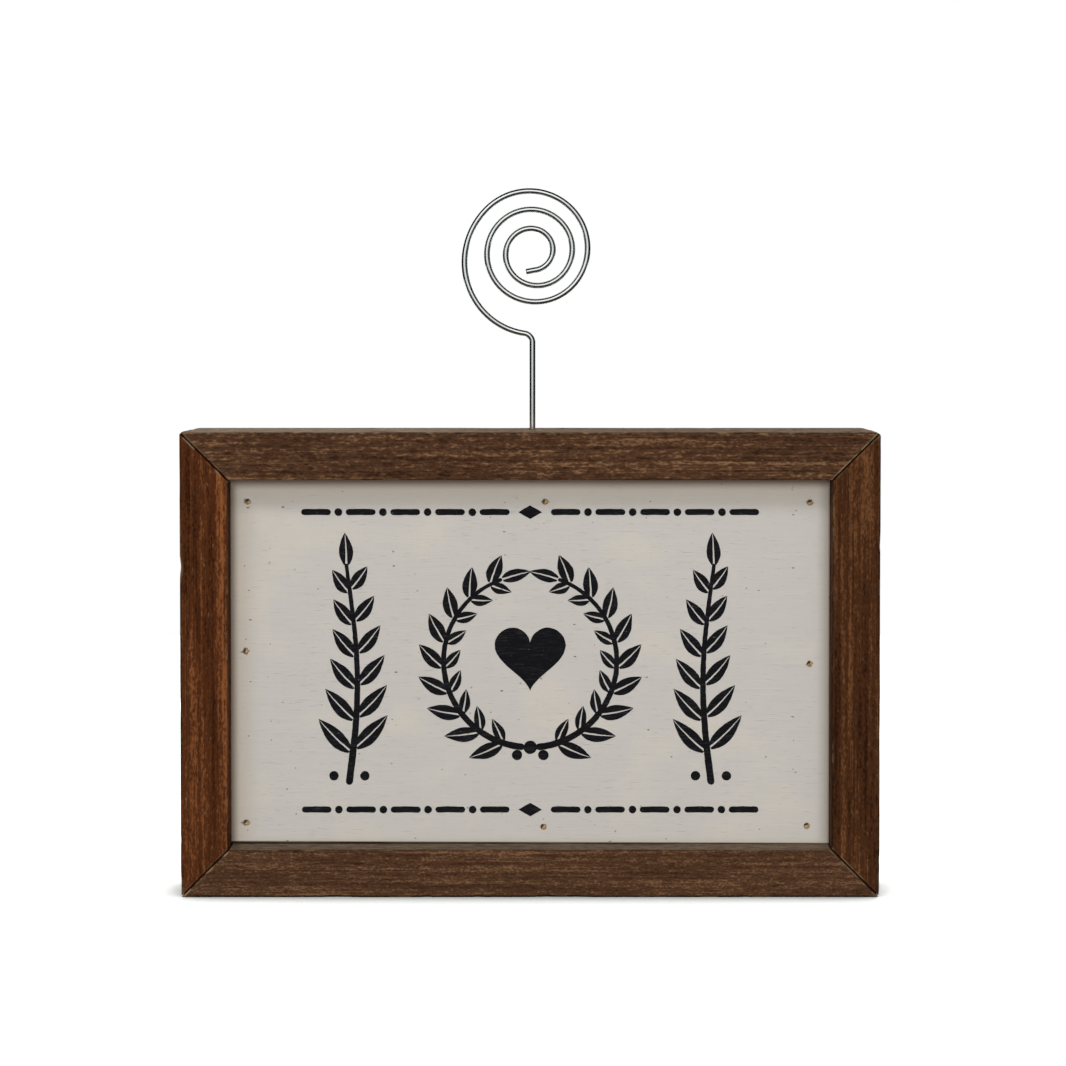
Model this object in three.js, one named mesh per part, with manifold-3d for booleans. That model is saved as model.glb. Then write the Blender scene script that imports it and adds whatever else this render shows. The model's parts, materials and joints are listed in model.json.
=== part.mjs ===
import * as THREE from 'three';
import { mergeVertices } from 'three/addons/utils/BufferGeometryUtils.js';
import Module from 'manifold-3d';

// A small framed sign that stands on its lower edge. A bent wire stands in a hole in its top edge
// and ends in a flat spiral, which holds a photo between its turns.
// Millimetres, +Z up. The front faces -Y, and the origin is the middle of the base.

// Whole sign, without the wire
const SIGN_WIDTH = 152.4;
const SIGN_HEIGHT = 101.6;
const SIGN_DEPTH = 19;

// Frame members, mitred at the corners
const FACE_WIDTH = 10.5;
const FRAME_EASE = 0.4;
const MITRE_GAP = 0.3;

// Painted board, set back from the front inside the frame
const BOARD_RECESS = 7.9;
const BOARD_THICKNESS = 3;
const BOARD_EDGE_GAP = 0.3;
const BOARD_EASE = 0.2;

// Cleats: the sticks behind the board that its brads bite into
const CLEAT_WIDTH = 9.5;
const CLEAT_SET_IN = 0.5;
const CLEAT_EASE = 0.2;
const GLUE_LINE = 0.1;

// Brads, all of one gauge
const BRAD_SHANK_RADIUS = 0.5;
const BRAD_HEAD_RADIUS = 0.75;
const BRAD_HEAD_THICKNESS = 0.5;
const BRAD_POINT_LENGTH = 1.2;
const BRAD_HEAD_SET = 0.4;
const BRAD_CLEARANCE = 0.12;
const BOARD_BRAD_LENGTH = 9;
const MITRE_BRAD_LENGTH = 16;
const CLEAT_BRAD_LENGTH = 15;

// Places of the brads
const BOARD_BRAD_SIDE_INSET = 4;
const BOARD_BRAD_END_INSET = 4.6;
const MITRE_BRAD_SPREAD = 9;
const CLEAT_BRAD_FROM_END = 14;

// Photo clip: the wire, the place of its stem and the hole that it stands in
const WIRE_DIAMETER = 1.3;
const WIRE_CLEARANCE = 0.1;
const WIRE_FOOT_GAP = 0.3;
const STEM_RIGHT_OF_MIDDLE = 0.5;
const STEM_BEHIND_FRONT = 11.9;
const STEM_HOLE_DEPTH = 8.6;
const STEM_HEIGHT = 19.1;

// Bends of the wire, in degrees and in millimetres of radius along its middle line.
// From the stem it turns left at the neck, sweeps back to the right and winds inward.
const NECK_TURN_DEGREES = 81.5;
const NECK_RADIUS = 2.1;
const SWEEP_TURN_DEGREES = 127;
const SWEEP_START_RADIUS = 15;
const SWEEP_END_RADIUS = 17;
const COIL_TURN_DEGREES = 934;
const TAIL_LENGTH = 2.3;

// The coil's radius where it starts, and after each of seven equal stages of its turn
const COIL_START_RADIUS = 13.5;
const COIL_RADIUS_AFTER_ONE = 12.25;
const COIL_RADIUS_AFTER_TWO = 10.5;
const COIL_RADIUS_AFTER_THREE = 9.5;
const COIL_RADIUS_AFTER_FOUR = 7.9;
const COIL_RADIUS_AFTER_FIVE = 6.4;
const COIL_RADIUS_AFTER_SIX = 4.7;
const COIL_END_RADIUS = 4.4;

// Fineness of the round shapes
const BRAD_SIDES = 10;
const HOLE_SIDES = 24;
const WIRE_SIDES = 12;
const DEGREES_PER_RING = 8;
const HALF_TURN_DEGREES = 180;
const WELD_DISTANCE = 1e-4;
const DRILL_OVERRUN = 1;

// Places that follow from the sizes above
const halfWidth = SIGN_WIDTH / 2;
const frontY = -SIGN_DEPTH / 2;
const backY = SIGN_DEPTH / 2;
const openingHalfWidth = halfWidth - FACE_WIDTH;
const openingBottom = FACE_WIDTH;
const openingTop = SIGN_HEIGHT - FACE_WIDTH;
const openingMiddle = SIGN_HEIGHT / 2;
const boardFrontY = frontY + BOARD_RECESS;
const boardBackY = boardFrontY + BOARD_THICKNESS;
const cleatFrontY = boardBackY + GLUE_LINE;
const cleatBackY = backY - CLEAT_SET_IN;
const cleatMiddleY = (cleatFrontY + cleatBackY) / 2;
const cleatInnerHalfWidth = openingHalfWidth - GLUE_LINE - CLEAT_WIDTH;
const cleatInnerBottom = openingBottom + GLUE_LINE + CLEAT_WIDTH;
const cleatInnerTop = openingTop - GLUE_LINE - CLEAT_WIDTH;
const wireRadius = WIRE_DIAMETER / 2;
const coilRadii = [
  COIL_START_RADIUS,
  COIL_RADIUS_AFTER_ONE,
  COIL_RADIUS_AFTER_TWO,
  COIL_RADIUS_AFTER_THREE,
  COIL_RADIUS_AFTER_FOUR,
  COIL_RADIUS_AFTER_FIVE,
  COIL_RADIUS_AFTER_SIX,
  COIL_END_RADIUS,
];

// Materials
const stainedWood = new THREE.MeshStandardMaterial({ color: 0x4e3624, roughness: 0.85, metalness: 0 });
const rawWood = new THREE.MeshStandardMaterial({ color: 0xb79468, roughness: 0.8, metalness: 0 });
const paintedBoard = new THREE.MeshStandardMaterial({ color: 0xc2beb7, roughness: 0.75, metalness: 0 });
const bradSteel = new THREE.MeshStandardMaterial({ color: 0x6e6257, roughness: 0.55, metalness: 0.8 });
const wireSteel = new THREE.MeshStandardMaterial({ color: 0xb9bab8, roughness: 0.25, metalness: 1 });

const wasm = await Module();
wasm.setup();

// A closed geometry as a solid for cutting
function solidOf(geometry) {
  const bare = geometry.clone();
  bare.deleteAttribute('normal');
  bare.deleteAttribute('uv');
  const welded = mergeVertices(bare, WELD_DISTANCE);
  return new wasm.Manifold(new wasm.Mesh({
    numProp: 3,
    vertProperties: new Float32Array(welded.attributes.position.array),
    triVerts: new Uint32Array(welded.index.array),
  }));
}

// A cut solid as a geometry
function geometryOf(solid) {
  const { vertProperties, triVerts } = solid.getMesh();
  const geometry = new THREE.BufferGeometry();
  geometry.setAttribute('position', new THREE.BufferAttribute(vertProperties, 3));
  geometry.setIndex(new THREE.BufferAttribute(triVerts, 1));
  geometry.computeVertexNormals();
  return geometry;
}

// A flat outline in X and Z, made thick from front to back, with its front and back edges eased
function slab(corners, front, back, ease) {
  const shape = new THREE.Shape(corners.map(([x, z]) => new THREE.Vector2(x, z)));
  const geometry = new THREE.ExtrudeGeometry(shape, {
    depth: back - front - 2 * ease,
    bevelEnabled: true,
    bevelThickness: ease,
    bevelSize: ease,
    bevelOffset: -ease,
    bevelSegments: 1,
  });
  geometry.translate(0, 0, ease);
  geometry.rotateX(Math.PI / 2);
  geometry.translate(0, back, 0);
  return geometry;
}

function rectangle(left, right, bottom, top) {
  return [[left, bottom], [right, bottom], [right, top], [left, top]];
}

// Brads. Each is driven in from a point on a surface, in one direction, through the pieces named.
const brads = [];

function driveBrad(name, surface, direction, length, pieces) {
  brads.push({
    name,
    length,
    pieces,
    surface: new THREE.Vector3(...surface),
    direction: new THREE.Vector3(...direction),
  });
}

// The brad's profile from head to point, or with a clearance all round, as the hole that it leaves
function bradProfile(length, clearance) {
  const mouth = clearance > 0 ? -BRAD_HEAD_SET - DRILL_OVERRUN : 0;
  const headRadius = BRAD_HEAD_RADIUS + clearance;
  const shankRadius = BRAD_SHANK_RADIUS + clearance;
  const headEnd = BRAD_HEAD_THICKNESS + clearance;
  return [
    new THREE.Vector2(0, mouth),
    new THREE.Vector2(headRadius, mouth),
    new THREE.Vector2(headRadius, headEnd),
    new THREE.Vector2(shankRadius, headEnd),
    new THREE.Vector2(shankRadius, length - BRAD_POINT_LENGTH + clearance),
    new THREE.Vector2(0, length + clearance),
  ];
}

// Turns and moves a shape made along +Y so that it lies where the brad was driven
function layAlong(object, brad) {
  object.quaternion.setFromUnitVectors(new THREE.Vector3(0, 1, 0), brad.direction);
  object.position.copy(brad.surface).addScaledVector(brad.direction, BRAD_HEAD_SET);
  object.updateMatrix();
  return object;
}

function bradMesh(brad) {
  const geometry = new THREE.LatheGeometry(bradProfile(brad.length, 0), BRAD_SIDES);
  const mesh = new THREE.Mesh(geometry, bradSteel);
  mesh.name = brad.name;
  return layAlong(mesh, brad);
}

function bradHole(brad) {
  const hole = new THREE.LatheGeometry(bradProfile(brad.length, BRAD_CLEARANCE), BRAD_SIDES);
  return solidOf(hole.applyMatrix4(layAlong(new THREE.Object3D(), brad).matrix));
}

// A wooden piece with the holes of every brad that goes through it
function woodPiece(name, geometry, material, extraHoles = []) {
  let solid = solidOf(geometry);
  for (const brad of brads.filter((one) => one.pieces.includes(name))) {
    solid = solid.subtract(bradHole(brad));
  }
  for (const hole of extraHoles) {
    solid = solid.subtract(solidOf(hole));
  }
  const mesh = new THREE.Mesh(geometryOf(solid), material);
  mesh.name = name;
  return mesh;
}

// Eight brads hold the board on its cleats. They were shot by hand, so each strays a little from
// its place: name, column, row, then how far it strays to the right and upward.
const boardBradPlaces = [
  ['top_left', -1, 1, -0.3, -0.6],
  ['top_middle', 0, 1, 3.3, -0.6],
  ['top_right', 1, 1, -0.3, -0.8],
  ['middle_left', -1, 0, -0.8, 2.2],
  ['middle_right', 1, 0, -0.3, -0.6],
  ['bottom_left', -1, -1, -0.8, 0],
  ['bottom_middle', 0, -1, 2.9, -0.9],
  ['bottom_right', 1, -1, -0.8, -0.7],
];
for (const [place, column, row, strayRight, strayUp] of boardBradPlaces) {
  const x = column * (openingHalfWidth - BOARD_BRAD_SIDE_INSET) + strayRight;
  const z = openingMiddle + row * (openingTop - BOARD_BRAD_END_INSET - openingMiddle) + strayUp;
  const sideCleat = column < 0 ? 'cleat_left' : 'cleat_right';
  const endCleat = row > 0 ? 'cleat_top' : 'cleat_bottom';
  const cleat = row === 0 ? sideCleat : endCleat;
  driveBrad(`board_brad_${place}`, [x, boardFrontY, z], [0, 1, 0], BOARD_BRAD_LENGTH, ['sign_board', cleat]);
}

// Two brads at each corner, through the stile's outer side into the end of the rail
for (const [sideName, side] of [['left', -1], ['right', 1]]) {
  const stile = `frame_${sideName}_stile`;
  for (const [endName, z] of [['top', SIGN_HEIGHT - FACE_WIDTH / 2], ['bottom', FACE_WIDTH / 2]]) {
    const rail = `frame_${endName}_rail`;
    for (const [depthName, y] of [['front', -MITRE_BRAD_SPREAD / 2], ['back', MITRE_BRAD_SPREAD / 2]]) {
      const name = `mitre_brad_${endName}_${sideName}_${depthName}`;
      driveBrad(name, [side * halfWidth, y, z], [-side, 0, 0], MITRE_BRAD_LENGTH, [stile, rail]);
    }
  }
}

// Two brads hold each cleat to the frame member that it lies along
const railCleatBradX = openingHalfWidth - CLEAT_BRAD_FROM_END;
const stileCleatBradZ = cleatInnerTop - CLEAT_BRAD_FROM_END - openingMiddle;
for (const [sideName, side] of [['left', -1], ['right', 1]]) {
  const cleat = `cleat_${sideName}`;
  const x = side * cleatInnerHalfWidth;
  for (const [endName, end] of [['upper', 1], ['lower', -1]]) {
    const surface = [x, cleatMiddleY, openingMiddle + end * stileCleatBradZ];
    const pieces = [cleat, `frame_${sideName}_stile`];
    driveBrad(`cleat_brad_${sideName}_${endName}`, surface, [side, 0, 0], CLEAT_BRAD_LENGTH, pieces);
  }
}
for (const [endName, z, up] of [['top', cleatInnerTop, 1], ['bottom', cleatInnerBottom, -1]]) {
  const cleat = `cleat_${endName}`;
  for (const [sideName, side] of [['left', -1], ['right', 1]]) {
    const surface = [side * railCleatBradX, cleatMiddleY, z];
    const pieces = [cleat, `frame_${endName}_rail`];
    driveBrad(`cleat_brad_${endName}_${sideName}`, surface, [0, 0, up], CLEAT_BRAD_LENGTH, pieces);
  }
}

// Frame: each mitred end face stands back from the mitre line by half of the gap
const mitreStep = MITRE_GAP / Math.SQRT2;

function railOutline(outerZ, innerZ) {
  const outerX = halfWidth - mitreStep;
  const innerX = openingHalfWidth - mitreStep;
  return [[-outerX, outerZ], [outerX, outerZ], [innerX, innerZ], [-innerX, innerZ]];
}

function stileOutline(side) {
  const outerX = side * halfWidth;
  const innerX = side * openingHalfWidth;
  return [
    [outerX, mitreStep],
    [outerX, SIGN_HEIGHT - mitreStep],
    [innerX, openingTop - mitreStep],
    [innerX, openingBottom + mitreStep],
  ];
}

// The drilled hole in the top rail that the wire's stem stands in
function stemHole() {
  const length = STEM_HOLE_DEPTH + DRILL_OVERRUN;
  const radius = wireRadius + WIRE_CLEARANCE;
  const hole = new THREE.CylinderGeometry(radius, radius, length, HOLE_SIDES);
  hole.rotateX(Math.PI / 2);
  const middleZ = SIGN_HEIGHT - STEM_HOLE_DEPTH + length / 2;
  hole.translate(STEM_RIGHT_OF_MIDDLE, frontY + STEM_BEHIND_FRONT, middleZ);
  return hole;
}

function frameMember(name, outline, extraHoles) {
  return woodPiece(name, slab(outline, frontY, backY, FRAME_EASE), stainedWood, extraHoles);
}

const frame = new THREE.Group();
frame.add(
  frameMember('frame_top_rail', railOutline(SIGN_HEIGHT, openingTop), [stemHole()]),
  frameMember('frame_bottom_rail', railOutline(0, openingBottom)),
  frameMember('frame_left_stile', stileOutline(-1)),
  frameMember('frame_right_stile', stileOutline(1)),
);

// Board
const boardOutline = rectangle(
  -openingHalfWidth + BOARD_EDGE_GAP,
  openingHalfWidth - BOARD_EDGE_GAP,
  openingBottom + BOARD_EDGE_GAP,
  openingTop - BOARD_EDGE_GAP,
);
const board = woodPiece(
  'sign_board',
  slab(boardOutline, boardFrontY, boardBackY, BOARD_EASE),
  paintedBoard,
);

// Cleats: the top and bottom ones run the full width, and the side ones stand between them
const cleatOuterX = openingHalfWidth - GLUE_LINE;
const cleatOutlines = {
  cleat_top: rectangle(-cleatOuterX, cleatOuterX, cleatInnerTop, openingTop - GLUE_LINE),
  cleat_bottom: rectangle(-cleatOuterX, cleatOuterX, openingBottom + GLUE_LINE, cleatInnerBottom),
  cleat_left: rectangle(
    -cleatOuterX,
    -cleatInnerHalfWidth,
    cleatInnerBottom + GLUE_LINE,
    cleatInnerTop - GLUE_LINE,
  ),
  cleat_right: rectangle(
    cleatInnerHalfWidth,
    cleatOuterX,
    cleatInnerBottom + GLUE_LINE,
    cleatInnerTop - GLUE_LINE,
  ),
};
const cleats = new THREE.Group();
for (const [name, outline] of Object.entries(cleatOutlines)) {
  cleats.add(woodPiece(name, slab(outline, cleatFrontY, cleatBackY, CLEAT_EASE), rawWood));
}

const fixings = new THREE.Group();
fixings.add(...brads.map(bradMesh));

// The wire's middle line, followed as a bender forms it: straight, then one bend after another.
// It lies in one plane, starts at the stem's foot and has a station wherever the tube has a ring.
class BentWire extends THREE.Curve {
  constructor() {
    super();
    this.heading = Math.PI / 2;
    this.stations = [{ x: 0, z: 0, heading: this.heading }];
  }

  straight(length) {
    this.advance(length, 0);
    return this;
  }

  // Positive degrees turn left, seen from the front. The radius changes evenly along the bend.
  bend(degrees, startRadius, endRadius) {
    const rings = Math.ceil(Math.abs(degrees) / DEGREES_PER_RING);
    const turn = THREE.MathUtils.degToRad(degrees) / rings;
    for (let ring = 0; ring < rings; ring += 1) {
      const share = (ring + 0.5) / rings;
      const radius = THREE.MathUtils.lerp(startRadius, endRadius, share);
      this.advance(2 * radius * Math.sin(Math.abs(turn) / 2), turn);
    }
    return this;
  }

  advance(length, turn) {
    const last = this.stations[this.stations.length - 1];
    const direction = this.heading + turn / 2;
    this.heading += turn;
    this.stations.push({
      x: last.x + length * Math.cos(direction),
      z: last.z + length * Math.sin(direction),
      heading: this.heading,
    });
  }

  get steps() {
    return this.stations.length - 1;
  }

  // The tube's rings are at the stations, so the share along the curve counts stations
  getUtoTmapping(share) {
    return share;
  }

  getPoint(share, target = new THREE.Vector3()) {
    const place = share * this.steps;
    const index = Math.min(Math.floor(place), this.steps - 1);
    const a = this.stations[index];
    const b = this.stations[index + 1];
    const rest = place - index;
    return target.set(
      THREE.MathUtils.lerp(a.x, b.x, rest),
      0,
      THREE.MathUtils.lerp(a.z, b.z, rest),
    );
  }

  getTangent(share, target = new THREE.Vector3()) {
    const { heading } = this.stations[Math.round(share * this.steps)];
    return target.set(Math.cos(heading), 0, Math.sin(heading));
  }

  // The smallest clear distance between one turn of the wire and the next
  leastGap() {
    const nearAlong = Math.ceil(HALF_TURN_DEGREES / DEGREES_PER_RING);
    let least = Infinity;
    this.stations.forEach((one, index) => {
      for (const other of this.stations.slice(index + nearAlong)) {
        least = Math.min(least, Math.hypot(one.x - other.x, one.z - other.z));
      }
    });
    return least - WIRE_DIAMETER;
  }
}

function photoClip() {
  const route = new BentWire();
  const footDepth = STEM_HOLE_DEPTH - WIRE_FOOT_GAP;
  const coilStages = coilRadii.length - 1;
  route.straight(footDepth + STEM_HEIGHT);
  route.bend(NECK_TURN_DEGREES, NECK_RADIUS, NECK_RADIUS);
  route.bend(-SWEEP_TURN_DEGREES, SWEEP_START_RADIUS, SWEEP_END_RADIUS);
  for (let stage = 0; stage < coilStages; stage += 1) {
    route.bend(-COIL_TURN_DEGREES / coilStages, coilRadii[stage], coilRadii[stage + 1]);
  }
  route.straight(TAIL_LENGTH);
  console.log(`photo_clip: least gap between turns ${route.leastGap().toFixed(2)} mm`);

  const corners = Array.from({ length: WIRE_SIDES }, (_, side) => {
    const angle = (2 * Math.PI * side) / WIRE_SIDES;
    return new THREE.Vector2(wireRadius * Math.cos(angle), wireRadius * Math.sin(angle));
  });
  const geometry = new THREE.ExtrudeGeometry(new THREE.Shape(corners), {
    steps: route.steps,
    extrudePath: route,
  });
  const wire = new THREE.Mesh(geometry, wireSteel);
  wire.name = 'photo_clip';
  wire.position.set(STEM_RIGHT_OF_MIDDLE, frontY + STEM_BEHIND_FRONT, SIGN_HEIGHT - footDepth);
  return wire;
}

const sign = new THREE.Group();
sign.add(frame, board, cleats, fixings, photoClip());

export default sign;
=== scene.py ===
"""The looks of a picture holder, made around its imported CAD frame.

Rough-sawn, stained and mitred wood frames a painted board with a printed ornament. Raw cleats and
steel brads hold it together, and a bright wire in its top rail winds into a spiral for a photo.
"""

import itertools
import json
import math

import bmesh
import bpy
import numpy as np
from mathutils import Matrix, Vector
from mathutils.geometry import delaunay_2d_cdt


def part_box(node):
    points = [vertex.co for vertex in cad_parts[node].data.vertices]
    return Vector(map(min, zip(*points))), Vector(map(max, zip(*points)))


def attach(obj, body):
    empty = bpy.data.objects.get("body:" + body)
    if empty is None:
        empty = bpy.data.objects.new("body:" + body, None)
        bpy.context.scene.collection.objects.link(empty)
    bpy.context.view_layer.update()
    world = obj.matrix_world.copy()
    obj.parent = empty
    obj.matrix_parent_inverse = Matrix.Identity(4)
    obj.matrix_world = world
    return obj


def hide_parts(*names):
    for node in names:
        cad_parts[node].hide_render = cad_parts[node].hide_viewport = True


bl_info = {
    "name": "Picture Holder",
    "version": (1, 0, 0),
    "blender": (4, 5, 0),
    "location": "3D View > Sidebar > Picture Holder",
    "description": "Makes a small framed sign with a spiral wire photo clip",
    "category": "Add Mesh",
}

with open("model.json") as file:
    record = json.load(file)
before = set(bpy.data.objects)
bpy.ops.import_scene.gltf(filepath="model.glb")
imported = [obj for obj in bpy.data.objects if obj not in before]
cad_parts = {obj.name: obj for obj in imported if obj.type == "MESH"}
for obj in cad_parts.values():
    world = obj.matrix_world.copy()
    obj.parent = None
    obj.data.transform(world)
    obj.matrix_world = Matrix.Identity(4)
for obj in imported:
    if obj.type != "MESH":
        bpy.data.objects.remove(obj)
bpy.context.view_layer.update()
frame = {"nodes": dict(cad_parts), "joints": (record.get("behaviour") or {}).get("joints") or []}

MM = 0.001
PHOTO_PIXELS = 1066
SENSOR_WIDTH = 36.0

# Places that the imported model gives
TOP_RAIL_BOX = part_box("frame_top_rail")
BOARD_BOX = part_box("sign_board")
WIRE_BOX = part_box("photo_clip")

# Repeatable noise
LATTICE_SIZE = 4096
LATTICE_PRIMES = (73856093, 19349663, 83492791)
SEED_STEP = (17.17, 5.31, 9.73)

# How far a cut may move a piece's outline, the raggedness of a hole's rim, and where shading turns crisp
CUT_TOLERANCE = 0.01 * MM
RAGGED_SIZE = (0.5, 0.5, 0.5)
SHARP_DEGREES = 50


def from_screen(red, green, blue):
    """A colour as a screen shows it, 0 to 255 each, in the linear values that shaders use."""
    shares = np.array([red, green, blue]) / 255
    linear = np.where(shares <= 0.04045, shares / 12.92, ((shares + 0.055) / 1.055) ** 2.4)
    return tuple(float(share) for share in linear)


def length_setting(name, description, default):
    """A property for a length in metres."""
    return bpy.props.FloatProperty(
        name=name, description=description, default=default, min=0.0, unit="LENGTH", precision=5
    )


def colour_setting(name, description, screen_colour):
    """A property for a colour, given as a screen shows it."""
    return bpy.props.FloatVectorProperty(
        name=name,
        description=description,
        default=from_screen(*screen_colour),
        min=0.0,
        max=1.0,
        size=3,
        subtype="COLOR",
    )


class HolderWoodSettings(bpy.types.PropertyGroup):
    """Sizes and colours of the stained frame and the raw cleats."""

    edge_radius: length_setting("Edge radius", "Least rounding of the long edges", 0.2 * MM)
    edge_wear: length_setting("Edge wear", "How much further the edges are worn in places", 0.42 * MM)
    chip_radius: length_setting("Chip radius", "Rounding where an edge has chipped", 1.1 * MM)
    groove_depth: length_setting("Groove depth", "Depth of the open grain", 0.13 * MM)
    sway: length_setting("Sway", "How far the faces sway in and out", 0.1 * MM)
    rail_colour: colour_setting("Rail stain", "Main tone of the top and bottom rails", (75, 50, 34))
    rail_dark: colour_setting("Rail grain", "Dark grain of the rails", (48, 29, 17))
    rail_light: colour_setting("Rail streaks", "Light streaks in the rails", (130, 96, 68))
    stile_colour: colour_setting("Stile stain", "Main tone of the side stiles", (74, 40, 19))
    stile_dark: colour_setting("Stile grain", "Dark grain of the stiles", (43, 19, 7))
    stile_light: colour_setting("Stile streaks", "Light streaks in the stiles", (130, 79, 44))
    sawn_colour: colour_setting("Sawn sides", "Tone of the narrow sides", (168, 151, 130))
    worn_colour: colour_setting("Worn edges", "Tone where the stain is rubbed off", (158, 132, 102))
    bare_colour: colour_setting("Raw wood", "Cleats, and places with no stain", (198, 170, 128))
    bare_dark: colour_setting("Raw wood grain", "Dark grain of raw wood", (156, 120, 80))


class HolderBoardSettings(bpy.types.PropertyGroup):
    """Sizes and colours of the painted board and what is on it."""

    paint_colour: colour_setting("Paint", "Off-white paint of the board", (198, 193, 186))
    back_colour: colour_setting("Board back", "Unpainted back of the board", (184, 146, 102))
    out_of_square: length_setting("Out of square", "How much the lower edge slopes", 0.22 * MM)
    ink_colour: colour_setting("Ink", "Black print", (17, 17, 20))
    ink_thickness: length_setting("Ink thickness", "How far the print stands proud", 0.05 * MM)
    ornament_width: length_setting("Ornament width", "Width of the printed ornament", 104 * MM)
    ornament_height: length_setting("Ornament height", "Height of the printed ornament", 68 * MM)
    filler_colour: colour_setting("Filler", "Dry filler over the brad heads", (172, 142, 98))


class HolderMetalSettings(bpy.types.PropertyGroup):
    """Sizes and colours of the wire and the brads."""

    wire_colour: colour_setting("Wire", "Bright drawn steel", (222, 224, 222))
    wire_shrink: length_setting("Wire shrink", "How far the wire stays inside its solid", 0.017 * MM)
    brad_colour: colour_setting("Brads", "Dull steel", (118, 108, 98))


class HolderStageSettings(bpy.types.PropertyGroup):
    """The floor, the lamps and the camera."""

    floor_colour: colour_setting("Floor", "Pale floor", (250, 250, 250))
    glow_colour: colour_setting("Floor glow", "Tone of the floor in the deepest shadow", (244, 253, 248))
    camera_distance: length_setting("Camera distance", "From the front of the frame", 760.0 * MM)
    camera_height: length_setting("Camera height", "Above the floor", 142.7 * MM)


def eased(share):
    """A share from 0 to 1, with a soft start and end."""
    return share * share * (3 - 2 * share)


def ramp(values, low, high):
    """0 below low, 1 above high, and a smooth rise between them."""
    return eased(np.clip((values - low) / (high - low), 0, 1))


def noise(points, size, seed):
    """Smooth noise from -1 to 1 at points (rows of X, Y, Z); size is a feature's length along each."""
    scaled = points / np.asarray(size) + seed * np.asarray(SEED_STEP)
    cell = np.floor(scaled).astype(np.int64)
    ease = eased(scaled - cell)
    table = np.random.default_rng(seed).uniform(-1, 1, LATTICE_SIZE)
    total = np.zeros(len(points))
    for corner in itertools.product((0, 1), repeat=3):
        mixed = (cell + corner) * np.asarray(LATTICE_PRIMES)
        index = (mixed[:, 0] ^ mixed[:, 1] ^ mixed[:, 2]) % LATTICE_SIZE
        weight = np.prod(np.where(np.asarray(corner) == 1, ease, 1 - ease), axis=1)
        total += weight * table[index]
    return total


def full_turn(count):
    """Angles at even steps round a circle."""
    return np.linspace(0, 2 * math.pi, count, endpoint=False)


def rows(*columns):
    """Columns of any shape, or numbers, as rows of flat lists."""
    size = max(np.size(column) for column in columns)
    return np.stack([np.broadcast_to(np.ravel(column), size) for column in columns], axis=1)


def sunk(distance, radius, roundness):
    """How far a surface lies under its flat one, at a distance from a rounded edge."""
    past = np.clip(1 - distance / radius, 0, 1)
    return radius * (1 - np.sqrt(1 - past**2 * roundness))


def add_object(name, points, faces):
    """Puts an object with a mesh of its own in the scene, its faces outward."""
    mesh = bpy.data.meshes.new(name)
    mesh.from_pydata(np.asarray(points).tolist(), [], [tuple(face) for face in faces])
    work = bmesh.new()
    work.from_mesh(mesh)
    bmesh.ops.recalc_face_normals(work, faces=work.faces)
    work.to_mesh(mesh)
    work.free()
    made = bpy.data.objects.new(name, mesh)
    bpy.context.scene.collection.objects.link(made)
    return made


def shade(piece, sharp_degrees=SHARP_DEGREES):
    """Smooth shading, with the edges sharper than an angle kept crisp."""
    piece.data.shade_smooth()
    piece.data.set_sharp_from_angle(angle=math.radians(sharp_degrees))


def store(piece, name, values):
    """Keeps a number or a vector for each of a piece's points, for its finish to read."""
    values = np.asarray(values, np.float32)
    is_vector = values.ndim == 2
    kind = "FLOAT_VECTOR" if is_vector else "FLOAT"
    attribute = piece.data.attributes.new(name, kind, "POINT")
    attribute.data.foreach_set("vector" if is_vector else "value", values.ravel())


def points_of(piece):
    """A piece's points as rows of X, Y, Z."""
    flat = np.zeros(len(piece.data.vertices) * 3)
    piece.data.vertices.foreach_get("co", flat)
    return flat.reshape(-1, 3)


def tube_faces(rings, around):
    """Quads of a tube of closed rings, and a fan to a middle point at each of its ends."""
    start = np.arange(rings - 1)[:, None] * around
    here = np.arange(around)
    after = (here + 1) % around
    quads = [start + here, start + after, start + around + after, start + around + here]
    faces = np.stack(quads, axis=-1).reshape(-1, 4).tolist()
    for end, ring in enumerate((0, rings - 1)):
        offset = ring * around
        middle = rings * around + end
        faces += [(offset + one, offset + (one + 1) % around, middle) for one in range(around)]
    return faces


def cut_away(piece, cutters):
    """Cuts cutter solids out of a piece for good, and throws the cutters away."""
    for cutter in cutters:
        modifier = piece.modifiers.new("hole", "BOOLEAN")
        modifier.operation = "DIFFERENCE"
        modifier.solver = "EXACT"
        modifier.object = cutter
    before = points_of(piece)
    graph = bpy.context.evaluated_depsgraph_get()
    graph.update()
    cut_mesh = bpy.data.meshes.new_from_object(piece.evaluated_get(graph))
    piece.modifiers.clear()
    piece.data = cut_mesh
    after = points_of(piece)
    growth = max((after.max(0) - before.max(0)).max(), (before.min(0) - after.min(0)).max())
    if growth > CUT_TOLERANCE:
        raise RuntimeError(f"Cutting the holes in {piece.name} failed")
    for cutter in cutters:
        bpy.data.objects.remove(cutter)


def lathe_cutter(profile, start, direction, sides, raggedness, seed):
    """A closed solid of revolution from (distance along, radius) pairs, a little ragged round its rim."""
    start = np.asarray(start)
    along = Vector(direction).normalized()
    across = along.orthogonal().normalized()
    angles = full_turn(sides)
    circle = np.outer(np.cos(angles), across) + np.outer(np.sin(angles), along.cross(across))
    wobble = 1 + raggedness * noise(circle, RAGGED_SIZE, seed)[:, None]
    along = np.asarray(along)
    rings = [start + distance * along + radius * circle * wobble for distance, radius in profile]
    ends = [start + profile[end][0] * along for end in (0, -1)]
    return add_object("cutter", np.vstack([*rings, *ends]), tube_faces(len(profile), sides))


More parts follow.
